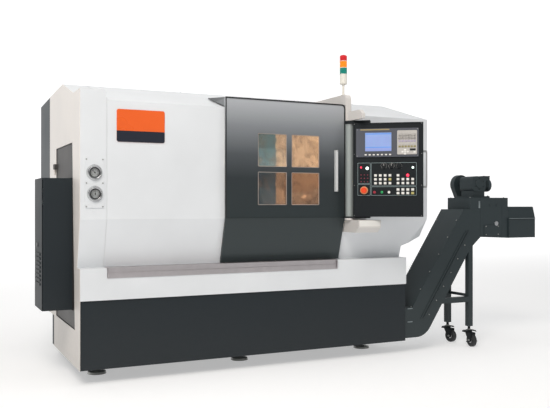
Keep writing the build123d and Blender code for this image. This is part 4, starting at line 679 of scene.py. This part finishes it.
def add_enclosure_trim():
    """Sealed joints of the white sheets, and the screws along the top of the sloping roof."""
    seams = bmesh.new()
    bar(seams, (156.2, 1.5, FOLD), (159.8, 3.0, FRONT_TOP + 15))
    bar(seams, (3, -0.4, LEDGE_TOP - 1.5), (2312, 2, LEDGE_TOP + 1.5))
    lean = math.atan2(LEDGE_DEPTH, FOLD - LEDGE_TOP)
    bmesh.ops.create_cube(seams, size=1.0, matrix=Matrix.Translation(
        (158, LEDGE_DEPTH / 2 + 2.2, (FOLD + LEDGE_TOP) / 2)) @ Matrix.Rotation(lean, 4, "X")
        @ Matrix.Diagonal((3.6, 1.5, math.hypot(LEDGE_DEPTH, FOLD - LEDGE_TOP), 1.0)))
    piece("sheet_seams", seams, "seam_sealant")
    roof_step = (ROOF_FRONT[1] - FRONT_TOP) / ROOF_FRONT[0]
    screws = bmesh.new()
    for x in range(240, 2480, 280):
        if not DOOR_LEFT - 20 < x < DOOR_RIGHT + 90:
            screw(screws, (x, 556, FRONT_TOP + 556 * roof_step + 0.2), (0, -roof_step, 1), 5.0)
    piece("sheet_screws", screws, "white_paint")


def add_base_trim():
    """Weld along the base's top."""
    strip = bmesh.new()
    bar(strip, (4, 8.5, 492), (2311, 10.2, 499.5), 0.6)
    piece("base_top_weld", strip, "dark_base_paint")


# Sliding door

def add_window_trims():
    """Dark frame with a grey silicone bead round each pane."""
    half_w, half_h = (size / 2 for size in WINDOW_SIZE)
    frames, lips = bmesh.new(), bmesh.new()
    for x in WINDOW_X:
        for z in WINDOW_Z:
            rings = [rounded(x - half_w - grow, z - half_h - grow, x + half_w + grow,
                             z + half_h + grow, 6.0 + grow) for grow in (4.0, 0.3, -3.5)]
            band(frames, rings[0], rings[1], -0.5, 1.2)
            band(lips, rings[1], rings[2], -4.0, 0.6)
    place = front_at(DOOR_FACE)
    piece("window_frames", frames, "dark_door_paint", "front_door", place)
    piece("window_lips", lips, "pane_bead", "front_door", place)


def add_door_edges():
    """Rubber profile round the door's right and top edges, rounding its upper corner."""
    seal = bmesh.new()
    outer = rounded(DOOR_LEFT - 2, FOLD + 3, DOOR_RIGHT + 2, DOOR_TOP + 3, (0, 0, 27.0, 0))
    inner = rounded(DOOR_LEFT + 4, FOLD + 3, DOOR_RIGHT - 5, DOOR_TOP - 5, (0, 0, 22.0, 0))
    band(seal, outer, inner, -1.5, 3.5)
    piece("door_seal", seal, "black_rubber", "front_door", front_at(DOOR_FACE))
    screws = bmesh.new()
    for z in (1164.5, 1432.5):
        screw(screws, (1711, DOOR_FACE - 25, z), (0, -1, 0), 3.0)
    piece("handle_screws", screws, "zinc_steel", "front_door")


def add_track_detail():
    """Rib along the door track, and its two end stops."""
    strip = bmesh.new()
    bar(strip, (160, -10.5, 660), (1739, -7.8, 663), 0.6)
    for x in (163.0, 1730.0):
        bar(strip, (x, -14, 636), (x + 6, -7.5, 690), 1.5)
    piece("track_stops", strip, "track_aluminium")


# Left end

def add_end_cover_detail():
    """Latch and rubber seal of the louvred end cover."""
    latch = bmesh.new()
    drum(latch, (COVER_LEFT + 1, 400, 820), (COVER_LEFT - 5.5, 400, 820), 15, rim=1.5)
    piece("end_cover_latch", latch, "knob_plastic", "service_door")
    seal = bmesh.new()
    for y in (228.0, 546.0):
        bar(seal, (-2, y - 1, 423), (5.5, y + 3, 1232), 1.0)
    for z in (421.0, 1230.0):
        bar(seal, (-2, 229, z), (5.5, 547, z + 4), 1.0)
    piece("end_cover_seal", seal, "black_rubber", "service_door")


# Signal light

def add_lens_ribs():
    """Fresnel rings of the three lenses, and the ivory collars at their feet."""
    x, y, radius = LIGHT
    tiers = (("signal_green", 1975.0, 2020.0), ("signal_amber", 2020.0, 2066.0),
             ("signal_red", 2066.0, 2098.0))
    for name, low, high in tiers:
        ribs = bmesh.new()
        height = low + 5
        while height < high - 4:
            turned(ribs, [(radius - 1, height - 1.4), (radius + 0.9, height),
                          (radius - 1, height + 1.4)], (x, y, 0))
            height += 4.5
        piece(name + "_ribs", ribs, "lens" + name[6:])
    collars = bmesh.new()
    for height in (1973.5, 2018.5, 2064.5):
        turned(collars, [(radius - 2, height), (radius + 1.4, height), (radius + 1.4, height + 3),
                         (radius - 2, height + 3)], (x, y, 0))
    piece("signal_collars", collars, "signal_ivory")


# Pendant

def add_display():
    """The lit screen with plain fields, its rim, the foil strip and the soft keys."""
    screen = bmesh.new()
    slab(screen, rounded(80, 439, 255, 564, 3), 1.8, 2.6)
    on_pendant("screen_glass", screen, "screen")
    bands = bmesh.new()
    slab(bands, rounded(82, 462, 253, 468, 1), 2.6, 3.0)
    slab(bands, rounded(82, 551, 253, 558, 1), 2.6, 3.0)
    on_pendant("screen_bands", bands, "screen_band")
    foot = bmesh.new()
    slab(foot, rounded(82, 441, 253, 460, 1), 2.6, 2.9)
    for column in range(3):
        for row in range(4):
            left = 92 + column * 54
            low = 480 + row * 16
            slab(foot, rounded(left, low, left + 40, low + 5, 1), 2.6, 2.9)
    on_pendant("screen_fields", foot, "screen_foot")
    foil = bmesh.new()
    slab(foil, rounded(48, 579, 242, 587, 2), 5.9, 6.6)
    on_pendant("bezel_foil", foil, "strip_bronze")
    rim = bmesh.new()
    band(rim, rounded(74, 433, 261, 570, 7), rounded(79, 438, 256, 565, 4), 5.0, 7.4)
    on_pendant("screen_rim", rim, "panel_plastic")
    keys = bmesh.new()
    for key in range(7):
        left = 76 + key * 27
        bar(keys, (left + 1.5, 410.5, 8.5), (left + 15.5, 419.5, 11.5), 1.2)
    on_pendant("soft_keys", keys, "white_plastic")


def add_keypad():
    """Keys of the data entry pad: pale above, lilac and olive below, an arrow cross at the foot."""
    plate = bmesh.new()
    band(plate, rounded(293, 415, 423, 575, 6), rounded(298, 420, 418, 570, 3), 8.0, 9.8)
    on_pendant("keypad_rim", plate, "key_beige")
    field = bmesh.new()
    slab(field, rounded(297, 419, 419, 571, 3), 8.8, 9.3)
    on_pendant("keypad_plate", field, "key_beige")
    rows = (("key_beige", 548, 3), ("white_plastic", 530, 1), ("key_lilac", 512, 2),
            ("key_beige", 476, 1), ("key_olive", 458, 1))
    for finish in ("key_beige", "white_plastic", "key_lilac", "key_olive"):
        keys = bmesh.new()
        for coat, top, count in rows:
            if coat != finish:
                continue
            for line in range(count):
                for column in range(6):
                    left = 302 + column * 19.6
                    high = top - line * 18 + 16
                    bar(keys, (left, high - 13, 9.0), (left + 15.5, high, 11.6), 1.3)
        on_pendant("keypad_" + finish.split("_")[1], keys, finish)
    cross = bmesh.new()
    for across, up in ((0, 0), (-17, 0), (17, 0), (0, 13), (0, -13)):
        bar(cross, (338 + across, 432 + up - 5.5, 9), (352 + across, 432 + up + 5.5, 11.8), 1.5)
    bar(cross, (400, 424, 9), (414, 438, 11.8), 1.5)
    on_pendant("keypad_cross", cross, "white_plastic")
    block = bmesh.new()
    bar(block, (376, 440, 9), (414, 454, 11), 1.2)
    on_pendant("keypad_black", block, "knob_plastic")


def add_operator_panel():
    """Printed outlines, keys, lamps and dials of the lower panel."""
    lines = bmesh.new()
    boxes = ((30, 222, 116, 362), (30, 142, 116, 218), (120, 206, 420, 362), (120, 142, 420, 202))
    for left, low, right, high in boxes:
        band(lines, rounded(left, low, right, high, 4),
             rounded(left + 2.2, low + 2.2, right - 2.2, high - 2.2, 2), -1.2, -0.6)
    on_pendant("panel_lines", lines, "line_grey")

    keys, yellow = bmesh.new(), bmesh.new()
    for row in range(3):
        for column in range(4):
            for left in (140, 289):
                u, z = left + column * 32, 216 + row * 26
                lamp = left == 289 and row == 2 and column in (1, 2, 3)
                if not lamp:
                    target = yellow if (left, column, row) == (140, 3, 1) else keys
                    bar(target, (u + 0.6, z + 0.6, 1.8), (u + 18.4, z + 16.4, 4.0), 1.8)
    for row in range(2):
        for column in range(4):
            u, z = 289 + column * 32, 150 + row * 24
            target = yellow if (column, row) == (3, 0) else keys
            bar(target, (u, z, -1.2), (u + 19, z + 16, 4.0), 1.8)
    turned(keys, [(0, 5), (7, 5), (9, 3.6), (9, -1.2), (0, -1.2)], (239, 164, 0), sides=20)
    on_pendant("panel_keys", keys, "white_plastic")
    on_pendant("panel_keys_yellow", yellow, "key_yellow")

    diodes = bmesh.new()
    for u in (53, 75, 97):
        for z in (235, 258, 281):
            turned(diodes, [(0, 2.2), (2.6, 1.6), (3.4, -1.1), (0, -1.1)], (u, z, 0), sides=12)
    on_pendant("panel_diodes", diodes, "diode_red")
    dome = [(0, 8), (5, 7.4), (8.5, 5), (10, 1.5), (10, -1.1), (0, -1.1)]
    red, white = bmesh.new(), bmesh.new()
    turned(red, dome, (362, 276.5, 0), sides=24)
    turned(red, [(r * 0.6, h * 0.6) for r, h in dome], (53, 331, 0), sides=20)
    on_pendant("panel_lamp_red", red, "lamp_red")
    turned(white, dome, (94, 325, 0), sides=24)
    turned(white, [(0, 15), (4.5, 14.6), (7, 12), (7.5, 8), (7.5, -1), (0, -1)], (396, 328, 0), sides=24)
    on_pendant("panel_lamp_white", white, "lamp_white")

    ring = bmesh.new()
    turned(ring, [(12.5, 1.4), (12.5, 2.6), (24.5, 2.6), (26.6, 1.8), (26.6, 0.5), (12.5, 0.5),
                  (12.5, 1.4)], (73, 177, 0))
    on_pendant("stop_ring", ring, "ring_orange")

    scales, skirts = bmesh.new(), bmesh.new()
    for u in DIALS:
        for step in range(11):
            tick(scales, (u, DIAL_ROW, -0.8), math.radians(225 - 27 * step), 17, 21, 1.2, 0.5)
    on_pendant("dial_scales", scales, "white_plastic")
    turned(skirts, [(14.5, -0.9), (14.5, 1), (17.5, 1), (18.5, -0.9), (14.5, -0.9)],
           (DIALS[2], DIAL_ROW, 0))
    bar(skirts, (DIALS[2] - 1.4, DIAL_ROW + 4, 13), (DIALS[2] + 1.4, DIAL_ROW + 14, 15), 0.5)
    on_pendant("dial_skirt", skirts, "knob_plastic")
    for knob, u in zip(("mode", "feed"), DIALS):
        pointer = bmesh.new()
        bar(pointer, (u - 1.0, DIAL_ROW, 16.6), (u + 1.0, DIAL_ROW + 13, 17.4), 0.3)
        on_pendant(knob + "_pointer", pointer, "white_plastic", body=knob + "_knob")


def add_pendant_housing():
    """Screws, the side handle's grip, the post's tube and rings, and the bracket's plate."""
    screws = bmesh.new()
    for u in (8.0, PENDANT_W - 11.0):
        for z in (8.0, 210.0, 420.0, PENDANT_H - 8.0):
            screw(screws, (u, z, 0), (0, 0, 1), 2.6)
    for u in (28.0, 426.0):
        for z in (407.0, 584.0):
            screw(screws, (u, z, 6), (0, 0, 1), 2.6)
    on_pendant("pendant_screws", screws, "zinc_steel")
    grip = bmesh.new()
    outer = rounded(PENDANT_W - 0.5, 192.2, PENDANT_W + 26.3, 442.8, (0, 12.8, 12.8, 0))
    inner = rounded(PENDANT_W + 0.5, 205.8, PENDANT_W + 16.2, 429.2, (0, 3, 3, 0))
    band(grip, outer, inner, -40.8, -21.7)
    on_pendant("pendant_grip", grip, "grip_grey")
    tube = bmesh.new()
    x, y, radius = POST
    turned(tube, [(radius + 0.6, 979), (radius + 0.6, 1616)], (x, y, 0), sides=48)
    piece("post_tube", tube, "steel_tube")
    rings = bmesh.new()
    for low in (989.0, 1608.0):
        turned(rings, collar(radius + 0.5, radius + 1.8, low, low + 8), (x, y, 0), sides=48)
    piece("post_rings", rings, "steel_tube")
    label = bmesh.new()
    slab(label, rounded(1806, 923, 1968, 962, 4), 0, 1.4)
    piece("bracket_plate", label, "white_plastic", place=front_at(BRACKET_FRONT))


# Conveyor

def up_the_incline(distance, height):
    """X and Z of a place along the incline, and so far above its underside."""
    return (KNEE_X + distance * math.cos(INCLINE) - height * math.sin(INCLINE),
            TROUGH_FLOOR + distance * math.sin(INCLINE) + height * math.cos(INCLINE))


def add_conveyor_detail():
    """Bolts, welds and worn edges of the conveyor."""
    bolts, welds = bmesh.new(), bmesh.new()
    for distance in range(150, 760, 120):
        x, z = up_the_incline(distance, 60)
        screw(bolts, (x, TROUGH_NEAR, z), (0, -1, 0), 4.5)
    for distance in range(120, 1000, 150):
        x, z = up_the_incline(distance, TROUGH_DEPTH)
        for y in (30.0, 267.0):
            screw(bolts, (x, y, z), (-math.sin(INCLINE), 0, math.cos(INCLINE)), 5.0)
    for x in (3060.0, 3180.0):
        for z in (842.0, 904.0):
            screw(bolts, (x, TROUGH_NEAR - 4, z), (0, -1, 0), 4.5)
    for z in (830.0, 890.0, 945.0):
        screw(bolts, (HEAD_RIGHT + 5, TROUGH_NEAR - 7, z), (1, 0, 0), 3.6)
    for z in (830.0, 890.0, 950.0, 1020.0):
        screw(bolts, (HEAD_RIGHT + 5, TROUGH_FAR + 6, z), (1, 0, 0), 4.0)
    for x in (2925.0, 3255.0):
        for y in (35.0, 262.0):
            screw(bolts, (x, y, HEAD_TOP), (0, 0, 1), 5.0)
    piece("conveyor_bolts", bolts, "zinc_steel")
    for left, right, low, high in ((2, 100, 1030, 1033), (97, 100, 826, 1120), (312, 315, 818, 1120)):
        bar(welds, (HEAD_LEFT + left, TROUGH_NEAR - 1.2, low),
            (HEAD_LEFT + right, TROUGH_NEAR + 0.2, high), 0.6)
    piece("head_welds", welds, "charcoal_paint")
    worn = bmesh.new()
    bar(worn, (HEAD_RIGHT + 6, TROUGH_NEAR - 8.6, CHUTE_LIP - 3.6),
        (CHUTE_RIGHT - 2, TROUGH_NEAR + 2, CHUTE_LIP + 0.6), 0.8)
    bar(worn, (2990, TROUGH_NEAR - 1.6, 1044), (3006, TROUGH_NEAR + 0.2, 1098), 0.8)
    for z in (218.0, 314.0):
        bar(worn, (2335, TROUGH_NEAR - 2, z), (2378, TROUGH_NEAR + 0.2, z + 7), 0.8)
    piece("conveyor_worn_edges", worn, "bare_edge")


def add_gearmotor_detail():
    """Fan cowl, terminal box lid, bolts and flanges of the gearmotor."""
    axis_y, axis_z = MOTOR_END[1:]
    gear_x, gear_y, gear_z = GEARBOX
    rim = MOTOR_R + 3
    cowl = bmesh.new()
    turned(cowl, [(0, 3), (12, 3), (12, 0), (17, 0), (17, 3), (24, 3), (24, 0), (29, 0), (29, 3),
                  (36, 3), (36, 0), (41, 0), (41, 3), (rim - 8, 3), (rim - 1, -1), (rim + 1.2, -8),
                  (rim + 1.2, -26), (rim - 1, -28)], MOTOR_END, (1, 0, 0), 48)
    piece("motor_fan_cowl", cowl, "cabinet_paint")
    lid = bmesh.new()
    lid_z = axis_z + 66
    bar(lid, (3116, 100, lid_z - 0.5), (3180, 190, lid_z + 5), 2.0)
    bar(lid, (3122, 97.5, lid_z - 26), (3174, 104.5, lid_z - 4), 2.0)
    piece("terminal_lid", lid, "charcoal_paint")
    bolts = bmesh.new()
    for x in (3122.0, 3174.0):
        for y in (106.0, 184.0):
            screw(bolts, (x, y, lid_z + 5), (0, 0, 1), 3.2)
    for x in (2976.0, 3120.0):
        for y in (62.0, 218.0):
            screw(bolts, (x, y, HEAD_TOP + 12), (0, 0, 1), 6.0)
    for step in range(6):
        angle = math.radians(60 * step + 30)
        place = (gear_x + 42 * math.cos(angle), gear_y, gear_z + 42 * math.sin(angle))
        screw(bolts, place, (0, -1, 0), 3.4)
    piece("gearmotor_bolts", bolts, "black_paint")
    flange = bmesh.new()
    turned(flange, [(0, 0), (0, 5), (33, 5), (35, 3), (35, 0), (0, 0)], GEARBOX, (0, -1, 0), 40)
    turned(flange, collar(rim + 5, rim + 7.5, 0, 10), (gear_x + 60, axis_y, axis_z), (1, 0, 0), 40)
    piece("gearbox_flanges", flange, "charcoal_paint")


def add_caster_detail():
    """Hub caps, axle nuts and swivel nut of both casters."""
    for side, (x, y, angle) in CASTERS.items():
        place = (MACHINE @ Matrix.Translation((x, y, 0))
                 @ Matrix.Rotation(math.radians(angle), 4, "Z"))
        caps = bmesh.new()
        for out in (-1, 1):
            turned(caps, [(6.4, 0), (18, 0), (18, 0.6), (13, 1.8), (6.4, 1.8)],
                   (CASTER_TRAIL, out * 14.6, AXLE_HEIGHT), (0, out, 0), 28)
        piece(f"hub_caps_{side}", caps, "gauge_steel", f"wheel_{side}", place)
        nuts = bmesh.new()
        for out in (-1, 1):
            drum(nuts, (CASTER_TRAIL, out * 21, AXLE_HEIGHT), (CASTER_TRAIL, out * 28, AXLE_HEIGHT),
                 9.5, sides=6, rim=0.8)
        drum(nuts, (0, 0, 122), (0, 0, 131), 14, sides=6, rim=1.0)
        piece(f"caster_nuts_{side}", nuts, "zinc_steel", f"fork_{side}", place)


# Inside, seen through the panes

def add_worklight():
    """Lamp of the machining chamber, high up inside the front, with its mount."""
    lamp = bmesh.new()
    drum(lamp, (1050, 60, 1655), (1650, 60, 1655), 9, rim=2.0)
    piece("worklight_tube", lamp, "worklight")
    mount = bmesh.new()
    bar(mount, (1030, 42, 1662), (1670, 78, 1690), 4.0)
    piece("worklight_mount", mount, "black_paint")


# Studio

def add_floor():
    """Pale floor that rises into a backdrop far behind."""
    reach, bend_start, bend, top = 60.0, 14.0, 4.0, 14.0
    below_feet = 0.0005
    shape = bmesh.new()
    path = [(-reach, 0.0), (bend_start, 0.0)]
    for step in range(1, 9):
        angle = math.radians(90 * step / 8)
        path.append((bend_start + bend * math.sin(angle), bend - bend * math.cos(angle)))
    path.append((bend_start + bend, top))
    line = [shape.verts.new((-reach, y, z - below_feet)) for y, z in path]
    edges = [shape.edges.new(pair) for pair in zip(line, line[1:])]
    made = bmesh.ops.extrude_edge_only(shape, edges=edges)
    far = [item for item in made["geom"] if isinstance(item, bmesh.types.BMVert)]
    bmesh.ops.translate(shape, vec=(2 * reach, 0, 0), verts=far)
    mesh = bpy.data.meshes.new("studio_floor")
    shape.to_mesh(mesh)
    shape.free()
    mesh.polygons.foreach_set("use_smooth", [True] * len(mesh.polygons))
    material, tree, output = blank("studio_paper")
    where = add(tree, "TexCoord").outputs["Object"]
    back = add(tree, "SeparateXYZ", {"Vector": where}).outputs["Y"]
    wash = add(tree, "MapRange", {"Value": back, "From Min": 1.0, "From Max": 9.0, "To Min": 0.42,
                                  "To Max": 0.75})
    shader = add(tree, "BsdfPrincipled", {"Base Color": linear("#cfcfcf"), "Roughness": 0.9,
                                          "Emission Color": linear("#ffffff"),
                                          "Emission Strength": wash.outputs["Result"]})
    mesh.materials.append(finish_surface(material, output, shader))
    floor = bpy.data.objects.new("studio_floor", mesh)
    bpy.context.scene.collection.objects.link(floor)


def add_light(name, place, target, size, power, colour="#ffffff"):
    """A soft rectangular light, in metres and watts, that faces a target."""
    light = bpy.data.lights.new(name, "AREA")
    light.shape = "RECTANGLE"
    light.size, light.size_y = size
    light.energy = power
    light.color = linear(colour)[:3]
    lamp = bpy.data.objects.new(name, light)
    lamp.location = place
    aim = Vector(target) - Vector(place)
    lamp.rotation_euler = aim.to_track_quat("-Z", "Y").to_euler()
    bpy.context.scene.collection.objects.link(lamp)


def add_studio():
    """Soft light from the left and above, a weak fill from the right, white surroundings, and
    the glow of the chamber's lamp."""
    world = bpy.data.worlds.new("studio")
    bpy.context.scene.world = world
    world.use_nodes = True
    background = world.node_tree.nodes["Background"]
    background.inputs["Color"].default_value = linear("#ffffff")
    background.inputs["Strength"].default_value = 0.28
    add_light("key", (-4.2, -5.4, 6.2), (0, 0, 0.9), (4.0, 3.0), 420, "#fffaf4")
    add_light("fill", (4.5, -5.0, 2.4), (0.5, 0, 0.8), (3.0, 3.0), 10)
    add_light("overhead", (0, -0.5, 5.5), (0, 0, 0), (6.0, 4.0), 90)
    inside = MACHINE @ Vector((1350, 70, 1640))
    add_light("worklight_glow", inside, MACHINE @ Vector((1350, 520, 1000)), (0.6, 0.05), 30,
              "#ffe9d2")
    bpy.context.scene.view_settings.view_transform = "Standard"


def add_camera():
    """The view of the photograph: level, with the horizon shifted a little."""
    data = bpy.data.cameras.new("camera")
    data.lens = CAMERA_LENS
    data.shift_y = HORIZON_SHIFT
    camera = bpy.data.objects.new("camera", data)
    camera.location = MACHINE @ Vector(CAMERA_PLACE)
    camera.rotation_euler = (math.radians(90), 0, math.radians(CAMERA_TURN))
    bpy.context.scene.collection.objects.link(camera)
    bpy.context.scene.camera = camera


dress_parts()
add_nameplate()
add_gauges()
add_enclosure_trim()
add_base_trim()
add_window_trims()
add_door_edges()
add_track_detail()
add_end_cover_detail()
add_lens_ribs()
add_display()
add_keypad()
add_operator_panel()
add_pendant_housing()
add_conveyor_detail()
add_gearmotor_detail()
add_caster_detail()
add_worklight()
add_floor()
add_studio()
add_camera()
